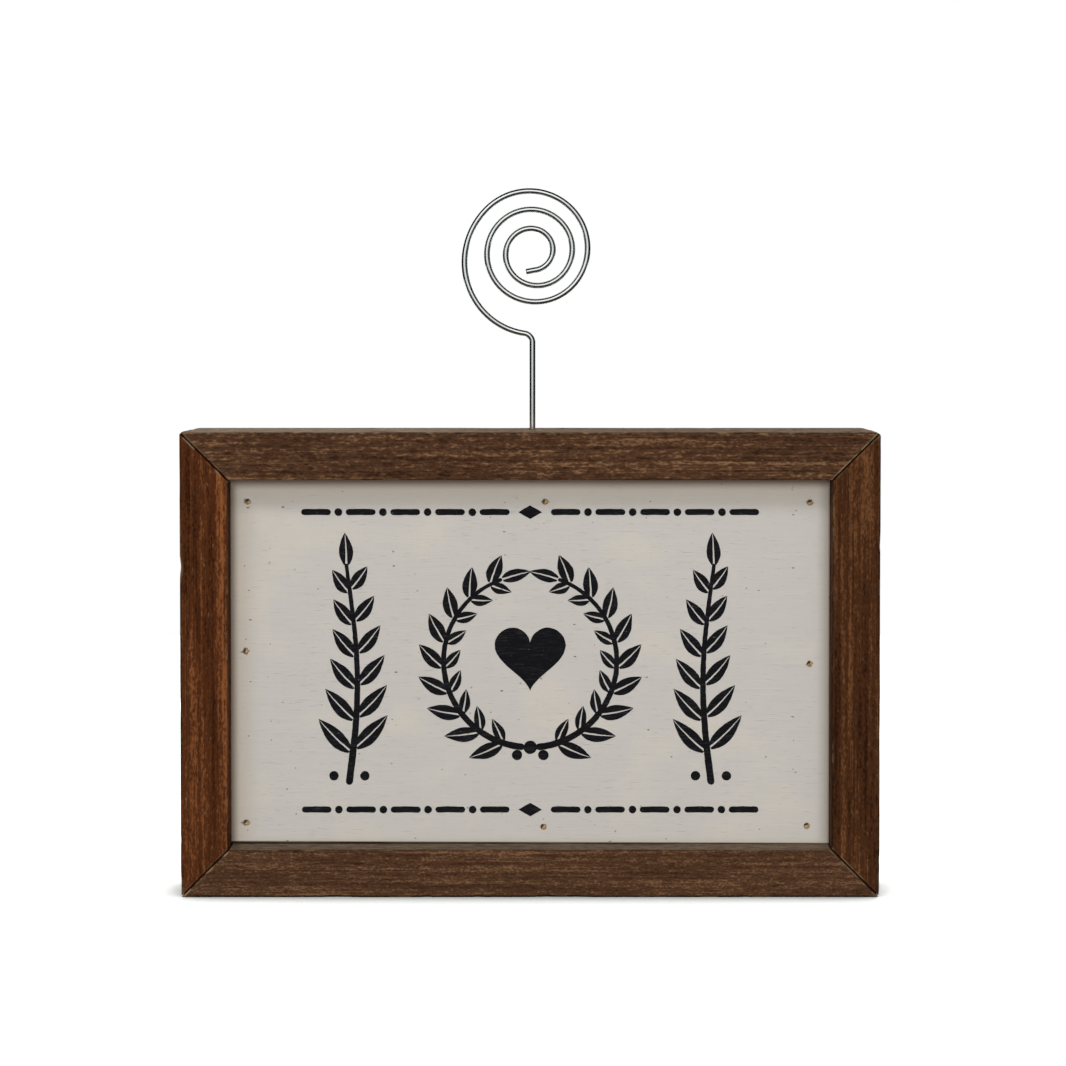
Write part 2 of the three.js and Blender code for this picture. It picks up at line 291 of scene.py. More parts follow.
# Brads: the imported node's box says where each one lies, and its head is at the end it was driven from
BRAD_HEAD_LENGTH = 0.5 * MM
BRAD_CLEARANCE = 0.1 * MM
BRAD_SHANK_SHARE = 0.67
BRAD_HOLE_SIDES = 18
BRAD_HOLE_RAGGEDNESS = 0.09
HOLE_MOUTH = 2.4 * MM
FILLED_MOUTH_SHARE = 0.87


def brads_named(*starts):
    """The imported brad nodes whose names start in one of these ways."""
    return sorted(name for name in frame["nodes"] if name.startswith(starts))


def brad_line(node):
    """A brad's head point, its driving direction, its length and its head's radius."""
    low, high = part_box(node)
    extent = high - low
    axis = max(range(3), key=lambda index: extent[index])
    middle = (low + high) / 2
    if node.startswith("board"):
        sense = 1.0
    elif node.startswith("mitre"):
        sense = -math.copysign(1.0, middle[axis])
    else:
        home = (TOP_RAIL_BOX[1].z / 2) if axis == 2 else 0.0
        sense = math.copysign(1.0, middle[axis] - home)
    direction = Vector((0, 0, 0))
    direction[axis] = sense
    return middle - direction * extent[axis] / 2, direction, extent[axis], min(extent) / 2


def brad_cutters(starts, seed):
    """The holes that brads leave in the wood, open at its surface, for the names that start like this."""
    cutters = []
    for number, node in enumerate(brads_named(*starts)):
        head, direction, length, radius = brad_line(node)
        pocket = radius + BRAD_CLEARANCE
        shank = radius * BRAD_SHANK_SHARE + BRAD_CLEARANCE
        mouth = radius * FILLED_MOUTH_SHARE if node.startswith("board") else pocket
        profile = [
            (-HOLE_MOUTH, mouth),
            (-BRAD_CLEARANCE / 2, mouth),
            (-BRAD_CLEARANCE / 2, pocket),
            (BRAD_HEAD_LENGTH + BRAD_CLEARANCE, pocket),
            (BRAD_HEAD_LENGTH + BRAD_CLEARANCE, shank),
            (length + BRAD_CLEARANCE, shank),
        ]
        sides, raggedness = BRAD_HOLE_SIDES, BRAD_HOLE_RAGGEDNESS
        cutters.append(lathe_cutter(profile, head, direction, sides, raggedness, seed + number))
    return cutters


# Rough bars: every stained member and every cleat is one. Its sides are front, outer, back and inner in
# turn, and its four long edges inner front, outer front, outer back and inner back.
CORNER_STEPS = np.array([0, 0.12, 0.24, 0.38, 0.56, 0.8, 1.1]) * MM
END_STEPS = np.array([0, 0.08, 0.18, 0.32, 0.52, 0.8, 1.2]) * MM
SIDE_STEPS = (0.4 * MM, 0.8 * MM, 0.8 * MM, 0.8 * MM)
SIDE_RUNS = np.array([[1, 0], [0, 1], [-1, 0], [0, -1]], float)
SIDE_NORMALS = np.array([[0, -1], [1, 0], [0, 1], [-1, 0]], float)
LEAST_SIDE_STEPS = 3
RING_STEP = 0.6 * MM
LEAST_RING_STEPS = 4
ROUND_SHARE = 0.25 * math.pi
EDGE_LINE = 0.5 * MM
END_LINE = 0.75 * MM
END_ROUNDING = 0.15 * MM
END_ROUNDNESS = 0.98
JOINT_LINE = (0.1 * MM, 0.25 * MM)
SAWN_LINE = 0.8 * MM
OUTER_RELIEF_REACH = 1.4 * MM
OUTER_RELIEF_CUT = 0.5
TIP_SLOPE = 0.75
TIP_SOFTNESS = 0.22 * MM
TIP_RAGGEDNESS = 0.25
TIP_DEPTHS = (0.2, 0.9)
SIDE_STAIN = 0.42
SLOW_WEAR = 0.45
QUICK_WEAR = 0.35
NICKED = (0.5, 0.95)
GRAIN_BEND = 0.5 * MM
OPEN_GRAIN = (0.15, 0.75)
TORN_GRAIN = (0.62, 0.9)
OPEN_SHARE = 0.75
FIBRE_SHARE = 0.28
TEAR_SHARE = 0.9

# Noise in the wood: a feature's length and width in millimetres, and a step of the seed
WOOD_NOISE = {
    "slow wear": (9, 1, 0),
    "quick wear": (2.3, 1, 1),
    "nicks": (3.4, 1, 2),
    "sway": (26, 9, 50),
    "bend": (18, 20, 51),
    "ridges": (17, 0.95, 52),
    "fibres": (5, 0.5, 53),
    "tears": (2.6, 0.7, 54),
}
EDGE_SEED_STEP = 11
TIP_SEED_STEP = 77
TIP_NOISE_SIZE = (1, 1, 1.6 * MM)

# What a bar is like where nothing else is said, for each of its four long edges or its two ends.
# Chips are (edge, place, reach, size) and worn tips (end, size in front, size behind). Both, and where
# the sawn side's stain starts, are in millimetres.
PLAIN_BAR = {
    "wear": 1.0,
    "edges": (1.0, 1.0, 1.0, 1.0),
    "edge_rub": (1.0, 1.0, 1.0, 1.0),
    # rim: how much painted shade darkens each long edge
    "rim": (0.0, 0.0, 0.0, 0.0),
    "end_rub": (0.4, 0.4),
    "inner_tone": 0.0,
    "stained_from": (1000, 1100),
    "chips": [],
    "tips": [],
}


def edge_rounding(distance, radius):
    """Where the points by a worn edge come to lie: how far from it, how deep, and how they lean."""
    angle = ROUND_SHARE * np.clip(1 - distance / radius, 0, 1)
    place = np.where(distance < radius, radius - radius * np.sin(angle), distance)
    return place, radius * (1 - np.cos(angle)), angle


class Bar:
    """A length of rough wood: along u from end to end, across v from its inner to its outer side, and y.

    slope is how far each end runs out per unit of v: 1 for a mitre, 0 for a square end.
    """

    def __init__(self, member, slope, fit=0.0):
        self.look = {**PLAIN_BAR, **member}
        low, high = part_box(member["node"])
        self.along = member["along"]
        self.across = 2 - self.along
        self.outward = member["outward"]
        self.slope = slope
        self.inner = (low if self.outward > 0 else high)[self.across]
        self.middle = (low[self.along] + high[self.along]) / 2
        self.width = high[self.across] - low[self.across]
        self.outer_half = (high[self.along] - low[self.along]) / 2 + fit
        self.inner_half = self.outer_half - slope * self.width
        self.front = low.y
        self.back = high.y

    def to_world(self, places):
        """Points in the row frame from rows of lengths along, across and deep."""
        points = places.copy()
        points[:, self.along] = self.middle + places[:, 0]
        points[:, self.across] = self.inner + self.outward * places[:, 1]
        points[:, 1] = places[:, 2]
        return points

    def to_bar(self, points):
        """Lengths along, across and deep of points in the row frame, as rows."""
        v = (points[:, self.across] - self.inner) * self.outward
        return rows(points[:, self.along] - self.middle, v, points[:, 1])

    def half_at(self, v):
        """Half the bar's length at a place across it."""
        return self.inner_half + self.slope * v

    def noise(self, name, points, more=0):
        """One kind of noise in this bar's wood."""
        length, width, step = WOOD_NOISE[name]
        return noise(points, (length * MM, width * MM, width * MM), self.look["seed"] + more + step)

    def section_loop(self):
        """For each point round the section: its side, and how far along that side it is."""
        depth = self.back - self.front
        lengths = np.array([self.width, depth, self.width, depth])
        sides = []
        places = []
        for side, (length, step) in enumerate(zip(lengths, SIDE_STEPS)):
            count = max(LEAST_SIDE_STEPS, round((length - 2 * CORNER_STEPS[-1]) / step))
            inside = np.linspace(CORNER_STEPS[-1], length - CORNER_STEPS[-1], count + 1)[1:-1]
            stations = np.concatenate([CORNER_STEPS, inside, (length - CORNER_STEPS[::-1])[:-1]])
            places.append(stations)
            sides.append(np.full(len(stations), side))
        return np.concatenate(sides), np.concatenate(places), lengths

    def ring_shares(self):
        """Where the rings stand, from -1 at one end to 1 at the other, closer together at the ends."""
        half = self.half_at(self.width / 2)
        count = max(LEAST_RING_STEPS, round(2 * (half - END_STEPS[-1]) / RING_STEP))
        inside = np.linspace(-half + END_STEPS[-1], half - END_STEPS[-1], count + 1)[1:-1]
        whole = np.concatenate([-half + END_STEPS, inside, (half - END_STEPS)[::-1]])
        return whole / half

    def edge_radii(self, along_places, wood):
        """The rounding of each of the four long edges at each ring."""
        line = rows(along_places, 0.0, 0.0)
        radii = []
        for edge, edge_share in enumerate(self.look["edges"]):
            more = EDGE_SEED_STEP * edge
            slow = self.noise("slow wear", line, more)
            quick = self.noise("quick wear", line, more)
            nick = self.noise("nicks", line, more)
            share = self.look["wear"] * edge_share
            worn = SLOW_WEAR * (1 + slow) / 2 + QUICK_WEAR * (1 + quick) / 2
            radius = wood.edge_radius + wood.edge_wear * share * worn
            radius += wood.chip_radius * share * ramp(nick, *NICKED)
            for chip_edge, *measures in self.look["chips"]:
                place, reach, size = np.multiply(measures, MM)
                if chip_edge == edge:
                    radius += size * np.exp(-(((along_places - place) / reach) ** 2))
            radii.append(radius)
        return np.stack(radii, axis=1)

    def relief(self, u, v, y, wood):
        """How far the surface lies under the straight sawn one, and how open the grain is there."""
        points = rows(u, v, y)
        sway = 0.5 * (1 + self.noise("sway", points))
        bent = points.copy()
        bent[:, 1] += GRAIN_BEND * self.noise("bend", points)
        open_grain = ramp(self.noise("ridges", bent), *OPEN_GRAIN)
        fibre = 0.5 + 0.5 * self.noise("fibres", bent)
        torn = ramp(self.noise("tears", bent), *TORN_GRAIN)
        depth = wood.sway * self.look["wear"] * sway
        depth += wood.groove_depth * (OPEN_SHARE * open_grain + FIBRE_SHARE * fibre)
        depth += wood.groove_depth * TEAR_SHARE * torn
        return depth.reshape(u.shape), open_grain.reshape(u.shape)

    def worn_tips(self, v, y, shares):
        """Places across the bar, with the tips of its mitres worn off."""
        for end, *sizes in self.look["tips"]:
            front_size, back_size = np.multiply(sizes, MM)
            deep = (y - self.front) / (self.back - self.front)
            size = front_size + (back_size - front_size) * ramp(deep, *TIP_DEPTHS)
            seed = self.look["seed"] + TIP_SEED_STEP + end
            ragged = noise(rows(0.0, 0.0, y), TIP_NOISE_SIZE, seed).reshape(y.shape)
            share = np.clip(end * shares, 0, 1)[:, None]
            rest = self.outer_half - share * self.inner_half
            limit = self.width - size * (1 + TIP_RAGGEDNESS * ragged) + TIP_SLOPE * rest
            limit = limit / (1 + TIP_SLOPE * share)
            room = np.minimum((limit - v) / TIP_SOFTNESS, 1)
            v = np.where(room < 1, limit - TIP_SOFTNESS * np.exp(room - 1), v)
        return v

    def build(self, name, wood):
        """Makes the bar's mesh, with its worn edges, its open grain and the marks that its finish reads."""
        sides, places, lengths = self.section_loop()
        shares = self.ring_shares()
        along_places = shares * self.half_at(self.width / 2)
        radii = self.edge_radii(along_places, wood)
        shape = (len(shares), len(places))
        place = np.broadcast_to(places, shape)
        length = np.broadcast_to(lengths[sides], shape)
        from_far = length - place
        far = radii[:, (sides + 1) % 4]
        near_place, near_depth, near_lean = edge_rounding(place, radii[:, sides])
        far_place, far_depth, far_lean = edge_rounding(from_far, far)
        x = np.where(from_far < far, length - far_place, near_place)
        lean = far_lean - near_lean

        corners = np.array(
            [[0, self.front], [self.width, self.front], [self.width, self.back], [0, self.back]]
        )
        run = SIDE_RUNS[sides]
        out = SIDE_NORMALS[sides]
        section = corners[sides] + x[..., None] * run - (near_depth + far_depth)[..., None] * out
        normal = np.cos(lean)[..., None] * out + np.sin(lean)[..., None] * run
        half = self.half_at(section[..., 0])
        u = shares[:, None] * half
        depth, open_grain = self.relief(u, section[..., 0], section[..., 1], wood)
        reach = np.where(sides == 0, from_far, np.where(sides == 2, place, 0.0))
        outer_share = (1 - ramp(reach, 0, OUTER_RELIEF_REACH)) * (sides != 3)
        depth *= 1 - OUTER_RELIEF_CUT * outer_share
        to_end = half - np.abs(u)
        depth += sunk(to_end, END_ROUNDING, END_ROUNDNESS)
        section = section - depth[..., None] * normal
        y = section[..., 1]
        v = self.worn_tips(section[..., 0], y, shares)
        rings = np.stack([shares[:, None] * self.half_at(v), v, y], axis=-1)
        middles = [rings[end].mean(axis=0) for end in (0, -1)]
        points = self.to_world(np.vstack([rings.reshape(-1, 3), *middles]))
        piece = add_object(name, points, tube_faces(*shape))

        edge_distance = np.minimum(place, from_far)
        nearest = np.where(place < from_far, sides, (sides + 1) % 4)
        long_edge = ramp(EDGE_LINE - edge_distance, 0, EDGE_LINE)
        end_rub = np.array(self.look["end_rub"])[(shares > 0).astype(int)]
        side_tone = np.array([0.0, 1.0, 0.0, self.look["inner_tone"]])[sides]
        stained = SIDE_STAIN * ramp(along_places, *np.multiply(self.look["stained_from"], MM))
        marks = {
            "long_edge": long_edge,
            # Painted shade along the long edges, weighted per edge
            "rim": long_edge * np.array(self.look["rim"])[nearest],
            "rubbed_edge": long_edge * np.array(self.look["edge_rub"])[nearest],
            "cut_end": ramp(END_LINE - to_end, 0, END_LINE) * end_rub[:, None],
            "joint": 1 - ramp(to_end, *JOINT_LINE),
            "open_grain": open_grain,
            "sawn_side": side_tone * ramp(edge_distance, 0, SAWN_LINE) * (1 - stained)[:, None],
        }
        for mark, values in marks.items():
            store(piece, mark, np.append(values, [0.0, 0.0]))
        return piece


class Value:
    """One value in a finish. Sums and products of values add the Math nodes that work them out."""

    def __init__(self, finish, socket):
        self.finish = finish
        self.socket = socket

    def math(self, operation, *others):
        """A Math node with this value first."""
        sockets = dict(enumerate((self, *others)))
        return self.finish.node("ShaderNodeMath", {"operation": operation}, sockets)

    def __add__(self, other):
        return self.math("ADD", other)

    __radd__ = __add__

    def __sub__(self, other):
        return self.math("SUBTRACT", other)

    def __rsub__(self, other):
        return self.finish.node("ShaderNodeMath", {"operation": "SUBTRACT"}, {0: other, 1: self})

    def __mul__(self, other):
        return self.math("MULTIPLY", other)

    __rmul__ = __mul__

    def __truediv__(self, other):
        return self.math("DIVIDE", other)

    def under(self, other):
        """1 where this value is less than another, and 0 elsewhere."""
        return self.math("LESS_THAN", other)

    def larger(self, other):
        """The larger of two values."""
        return self.math("MAXIMUM", other)

    def spread(self, base, share):
        """A base, and a share of this value on top of it."""
        return base + self * share

    def ramp(self, low, high):
        """0 below low, 1 above high, and a smooth rise between them."""
        settings = {"interpolation_type": "SMOOTHSTEP"}
        sockets = {"Value": self, "From Min": low, "From Max": high}
        return self.finish.node("ShaderNodeMapRange", settings, sockets)


def rgba(colour):
    """A colour with its alpha, or a linked value as it is."""
    return colour if isinstance(colour, Value) else (*tuple(colour)[:3], 1.0)


def scaled(colour, factors):
    """A colour in numbers, times one factor or one for each channel."""
    return tuple(float(channel) for channel in np.multiply(tuple(colour), factors))


def mixed(clouds, weights):
    """The sum of some of the clouds, each times its weight."""
    return sum(clouds[name] * weight for name, weight in weights.items())


class Finish:
    """The nodes of a material or of the world, put together by one method that adds a node."""

    def __init__(self, owner):
        self.owner = owner
        owner.use_nodes = True
        self.tree = owner.node_tree
        self.tree.nodes.clear()

    def node(self, kind, settings=None, sockets=None, output=0):
        """Adds a node: its settings first, then the values or links of its sockets."""
        made = self.tree.nodes.new(kind)
        for key, setting in (settings or {}).items():
            setattr(made, key, setting)
        for key, value in (sockets or {}).items():
            if isinstance(value, Value):
                self.tree.links.new(value.socket, made.inputs[key])
            else:
                made.inputs[key].default_value = value
        return Value(self, made.outputs[output]) if made.outputs else None

    def mark(self, name, output="Fac"):
        """A number that is kept on the mesh's points, or a vector."""
        return self.node("ShaderNodeAttribute", {"attribute_name": name}, output=output)

    def millimetres(self):
        """The place on the object itself, in millimetres."""
        metres = self.node("ShaderNodeTexCoord", output="Object")
        return self.stretch(metres, (MM, MM, MM))

    def stretch(self, vector, sizes, shift=0.0):
        """A vector divided by the size that a feature has along each axis, and shifted."""
        for operation, by in (("DIVIDE", tuple(sizes)), ("ADD", (shift, shift, shift))):
            sockets = {0: vector, 1: by}
            vector = self.node("ShaderNodeVectorMath", {"operation": operation}, sockets)
        return vector

    def cloud(self, vector, sizes, detail, roughness, shift):
        """Soft noise from 0 to 1, with features of the given sizes. The last size serves the axes left."""
        sockets = {
            "Vector": self.stretch(vector, (*sizes, sizes[-1])[:3], shift),
            "Scale": 1.0,
            "Detail": detail,
            "Roughness": roughness,
        }
        return self.node("ShaderNodeTexNoise", None, sockets)

    def clouds(self, vector, table, shift=0.0):
        """A table's clouds by name, and its covers by name: a cloud's ramp times its strength."""
        clouds = {}
        covers = {}
        for name, (sizes, detail, roughness, own_shift, *cover) in table.items():
            clouds[name] = self.cloud(vector, sizes, detail, roughness, shift + own_shift)
            if cover:
                low, high, strength = cover
                covers[name] = clouds[name].ramp(low, high) * strength
        return clouds, covers

    def spots(self, vector, sizes, share, radius, shift):
        """1 in round spots and 0 elsewhere. A share of the cells has one, of up to the given radius."""
        settings = {"feature": "F1", "voronoi_dimensions": "2D"}
        sockets = {"Vector": self.stretch(vector, sizes, shift), "Scale": 1.0}
        distance = self.node("ShaderNodeTexVoronoi", settings, sockets)
        colour = self.node("ShaderNodeTexVoronoi", settings, sockets, output="Color")
        chance = self.node("ShaderNodeSeparateColor", None, {0: colour})
        size = self.node("ShaderNodeSeparateColor", None, {0: colour}, output=1)
        reach = (size * (1 - LEAST_SPOT) + LEAST_SPOT) * radius
        return chance.under(share) * (1 - (distance / reach).ramp(*SPOT_EDGE))

    def blend(self, share, first, second, kind="MIX"):
        """A colour between two colours."""
        settings = {"data_type": "RGBA", "blend_type": kind, "clamp_factor": True}
        sockets = {0: share, 6: rgba(first), 7: rgba(second)}
        return self.node("ShaderNodeMix", settings, sockets, output=2)

    def darken(self, share, colour, factor):
        """A colour times a factor, where share is 1."""
        return self.blend(share, colour, (factor, factor, factor), "MULTIPLY")

    def show(self, surface, kind="ShaderNodeOutputMaterial"):
        """Links a shader to the output, and gives the material or world back."""
        self.node(kind, None, {"Surface": surface})
        return self.owner

    def dress(self, colour, roughness, height, depth, others=None):
        """Ends a material with a Principled shader and a relief of the given depth."""
        relief = self.node("ShaderNodeBump", None, {"Height": height, "Distance": depth})
        sockets = {"Base Color": colour, "Roughness": roughness, "Normal": relief}
        return self.show(self.node("ShaderNodeBsdfPrincipled", None, {**sockets, **(others or {})}))


def new_finish(name):
    """An empty finish for a material."""
    return Finish(bpy.data.materials.new(name))


# Clouds of the finishes: a feature's sizes in millimetres, detail, roughness and shift. Where one covers
# what is under it, then also where its cover starts, where it is full, and its strength.
LEAST_SPOT = 0.4
SPOT_EDGE = (0.7, 1.0)
STAIN_CLOUDS = {
    "bands": ((70, 3.4), 1.0, 0.5, 0.0),
    "streaks": ((48, 0.8), 2.0, 0.5, 12.3),
    "light_lines": ((30, 0.3), 1.0, 0.5, 21.3, 0.62, 0.75, 0.6),
    "dark_lines": ((24, 0.36), 1.0, 0.5, 33.1, 0.62, 0.73, 0.45),
    "patches": ((6.5, 1.3), 2.0, 0.5, 2.9, 0.66, 0.75, 0.75),
    "scuffs": ((1.5, 0.5), 2.0, 0.5, 27.9, 0.64, 0.78, 0.3),
    "saw_lines": ((1.1, 14), 3.0, 0.6, 17.7, 0.45, 0.7, 0.4),
    "long_grain": ((34, 1.1), 2.0, 0.5, 45.2, 0.45, 0.65, 0.35),
    "stains": ((15, 4.5), 3.0, 0.55, 38.1, 0.52, 0.68, 0.55),
    "rubs": ((4.2, 2.2), 2.0, 0.5, 41.7),
}
RUBBED_MARKS = {"rubbed_edge": (0.56, 0.68, 0.3), "cut_end": (0.42, 0.58, 0.9)}
FLECKS = (2.0, 0.5, 5.1)
GRIT = (2.0, 0.55, 8.3)
TONE_PARTS = ("bands", "streaks", "flecks", "grit")
HALF_TONES = (0.3, 0.7)
TONE_DARK = (0.385, 0.495)
TONE_LIGHT = (0.5, 0.62)
PATCH_FACTOR = 0.42
SIDE_FACTOR = 0.76
# How dark the painted edge shade gets
EDGE_SHADE_FACTOR = 0.55
JOINT_FACTOR = 0.3
LINE_RELIEF = 0.1 / 0.45
PATCH_RELIEF = 0.05 / 0.75
OPEN_GRAIN_TONE = 0.25
SIDE_BASE = 0.5
SIDE_COVER = 0.85
EDGE_SHADE_SPREAD = (0.55, 0.6)
JOINT_SPREAD = (0.55, 0.5)
STAIN_WORN = (0.4, 0.65)
STAIN_ROUGHNESS = (0.84, -0.18)
STAIN_DEPTH = 0.5 * MM
STAIN_GLOSS = {"Specular IOR Level": 0.05}
RAW_CLOUDS = {
    "rings": ((60, 2.1), 1.0, 0.4, 4.2),
    "fibres": ((7, 0.4), 3.0, 0.6, 9.4),
    "flecks": ((1.6, 0.3), 2.0, 0.5, 2.2),
}
RAW_WEIGHTS = {"rings": 0.5, "fibres": 0.35, "flecks": 0.15}
RAW_TONE = (0.38, 0.6)
RAW_OPEN = 0.5
RAW_EDGE = 0.35
RAW_EDGE_FACTOR = 0.72
RAW_ROUGHNESS = (0.8, -0.1)
RAW_DEPTH = 0.3 * MM
BOARD_CLOUDS = {
    "lines": ((11, 0.34, 0.6), 3.0, 0.6, 3.3),
    "threads": ((0.42, 6.0, 0.6), 2.0, 0.5, 7.7),
    "patches": ((21, 15, 9), 3.0, 0.55, 1.2, 0.5, 0.72, 0.6),
    "thin": ((2.6, 0.2, 0.5), 2.0, 0.5, 15.9, 0.64, 0.74, 0.42),
    "back_grain": ((30, 0.7), 3.0, 0.6, 6.1),
    "back_figure": ((60, 7), 2.0, 0.5, 13.4),
}
PAINT_WEIGHTS = {"lines": 0.6, "threads": 0.15, "patches": 0.25}
BACK_WEIGHTS = {"back_grain": 0.6, "back_figure": 0.25, "lines": 0.15}
PAINT_RELIEF = {"lines": 0.7, "threads": 0.25}
PAINT_ROUGHNESS = (0.62, 0.2)
PAINT_DEPTH = 0.09 * MM
PAINT_GLOSS = {"Specular IOR Level": 0.35}
PAINT_SHADOW = 0.84
PAINT_TINT = (1.03, 0.99, 0.93)
# Painted bounce light: the warm tint that the paint takes near the brown frame
PAINT_BOUNCE_TINT = (0.86, 0.79, 0.69)
THIN_FACTOR = 0.6
THIN_RELIEF = (0.6, 0.8)
THIN_DEPTH = 0.4
# Reach and spread of the painted bounce light near the frame
BOUNCE_TINT_REACH = (1.0, 7.0)
BOUNCE_TINT_SPREAD = (0.3, 0.7)
# Grime and painted shade on the paint next to the frame, where the frame shades the recessed board: its
# reach, its strength and its colour
GRIME_AND_SHADE_REACH = (-0.4, 2.0)
GRIME_AND_SHADE_COVER = 0.85
# Painted shadow of the gap under the board's foot: its spread, and its colour below
FOOT_SHADOW_SPREAD = (0.7, 0.5)
GRIME_AND_SHADE = (92, 70, 52)
FOOT_SHADOW = (34, 21, 17)

# Specks: sizes of their cells, share of the cells that have one, radius, shift; then cover and colour
SPECKS = (
    (((5.5, 5.5, 1), 0.26, 0.05, 4.6), 0.6, (128, 96, 72)),
    (((8, 4, 1), 0.12, 0.055, 11.8), 0.75, (82, 66, 56)),
)
BACK_TONE = (0.36, 0.6)
BACK_DARK = 0.66
INK_CLOUDS = {
    "grain": ((3.2, 2.0, 0.22), 2.0, 0.6, 2.4),
    "pinholes": ((0.5, 0.5, 0.24), 2.0, 0.6, 9.1, 0.69, 0.76, 0.55),
}
INK_FADE = (0.5, 0.75)
INK_MISSING = (0.4, 0.6)
INK_WORN = 3
INK_LEAST = 0.004
INK_RELIEF = {"grain": 1.0, "pinholes": 0.5}
INK_ROUGHNESS = (0.6, 0.25)
INK_DEPTH = 0.04 * MM
INK_GLOSS = {"Specular IOR Level": 0.12}
FILLER_CLOUD = ((0.3, 0.3), 3.0, 0.6, 1.7)
FILLER_DARK = (0.36, 0.52)
FILLER_PALE = (0.56, 0.7)
FILLER_GAP_SHADE = (36, 24, 14)
FILLER_FACTORS = (0.32, 1.5)
FILLER_ROUGHNESS = 0.9
FILLER_DEPTH = 0.12 * MM
WIRE_CLOUDS = {
    "lines": ((40, 0.2), 1.0, 0.5, 3.1, 0.5, 0.8, 0.3),
    "patches": ((7, 1.2), 3.0, 0.55, 8.8, 0.5, 0.75, 0.6),
}
WIRE_DULL = 0.62
WIRE_SATIN = (0.45, 0.75)
WIRE_ROUGHNESS = (0.12, 0.1)
WIRE_LINE_ROUGHNESS = 0.04
WIRE_DEPTH = 0.0006 * MM
BURR = (52, 50, 48)
BURR_COVER = 0.85
TARNISH_CLOUD = ((0.7, 0.7), 3.0, 0.6, 5.5)
TARNISHED = (0.42, 0.66)
TARNISH_DULL = (0.45, 0.7)
TARNISH = (74, 52, 38)
TARNISH_METAL = (0.9, -0.6)
TARNISH_ROUGHNESS = (0.38, 0.4)
TARNISH_DEPTH = 0.05 * MM


def stained_wood(name, tones, look, wood):
    """Rough-sawn wood under a dark stain: short flecks over long streaks, rubbed ends, and painted shade
    along the edges.
    """
    main, dark, light = (scaled(tone, look["tint"]) for tone in tones)
    deep = tuple(one + (two - one) * look["depth"] for one, two in zip(main, dark))
    finish = new_finish(name)
    table = {"flecks": (look["flecks"], *FLECKS), "grit": (look["grit"], *GRIT), **STAIN_CLOUDS}
    cloud, cover = finish.clouds(finish.mark("in_wood", "Vector"), table, look["shift"])
    tone = mixed(cloud, dict(zip(TONE_PARTS, look["mix"])))
    colour = finish.blend(tone.ramp(*TONE_DARK), deep, main)
    colour = finish.blend(tone.ramp(*TONE_LIGHT) * look["light"], colour, light)
    colour = finish.blend(cover["light_lines"] * cloud["grit"], colour, light)
    colour = finish.blend(cover["dark_lines"], colour, dark)
    colour = finish.darken(cover["patches"], colour, PATCH_FACTOR)
    colour = finish.blend(cover["scuffs"] * look["light"], colour, wood.worn_colour)
    colour = finish.blend(finish.mark("open_grain") * OPEN_GRAIN_TONE, colour, dark)

    side_tone = finish.blend(cloud["flecks"].ramp(*HALF_TONES), main, wood.sawn_colour)
    side_tone = finish.blend(SIDE_BASE, side_tone, wood.sawn_colour)
    side_tone = finish.darken(cover["saw_lines"], side_tone, SIDE_FACTOR)
    side_tone = finish.darken(cover["long_grain"], side_tone, SIDE_FACTOR)
    side_tone = finish.blend(cover["stains"], side_tone, main)
    colour = finish.blend(finish.mark("sawn_side") * SIDE_COVER, colour, side_tone)

    # Painted shade along the edges, towards the dark grain
    rim = finish.mark("rim") * cloud["grit"].spread(*EDGE_SHADE_SPREAD)
    colour = finish.blend(rim, colour, scaled(dark, EDGE_SHADE_FACTOR))
    for mark, (low, high, strength) in RUBBED_MARKS.items():
        rubbed = finish.mark(mark) * cloud["rubs"].ramp(low, high) * strength
        colour = finish.blend(rubbed, colour, wood.worn_colour)
    joint = finish.mark("joint") * cloud["grit"].spread(*JOINT_SPREAD)
    colour = finish.blend(joint, colour, scaled(dark, JOINT_FACTOR))
    height = tone - cover["dark_lines"] * LINE_RELIEF - cover["patches"] * PATCH_RELIEF
    roughness = tone.ramp(*STAIN_WORN).spread(*STAIN_ROUGHNESS)
    return finish.dress(colour, roughness, height, STAIN_DEPTH, STAIN_GLOSS)


def raw_wood(wood):
    """Bare sawn softwood, for the cleats."""
    finish = new_finish("raw_wood")
    cloud, _ = finish.clouds(finish.mark("in_wood", "Vector"), RAW_CLOUDS)
    tone = mixed(cloud, RAW_WEIGHTS)
    colour = finish.blend(tone.ramp(*RAW_TONE), wood.bare_dark, wood.bare_colour)
    colour = finish.blend(finish.mark("open_grain") * RAW_OPEN, colour, wood.bare_dark)
    colour = finish.darken(finish.mark("long_edge") * RAW_EDGE, colour, RAW_EDGE_FACTOR)
    return finish.dress(colour, cloud["fibres"].spread(*RAW_ROUGHNESS), tone, RAW_DEPTH)


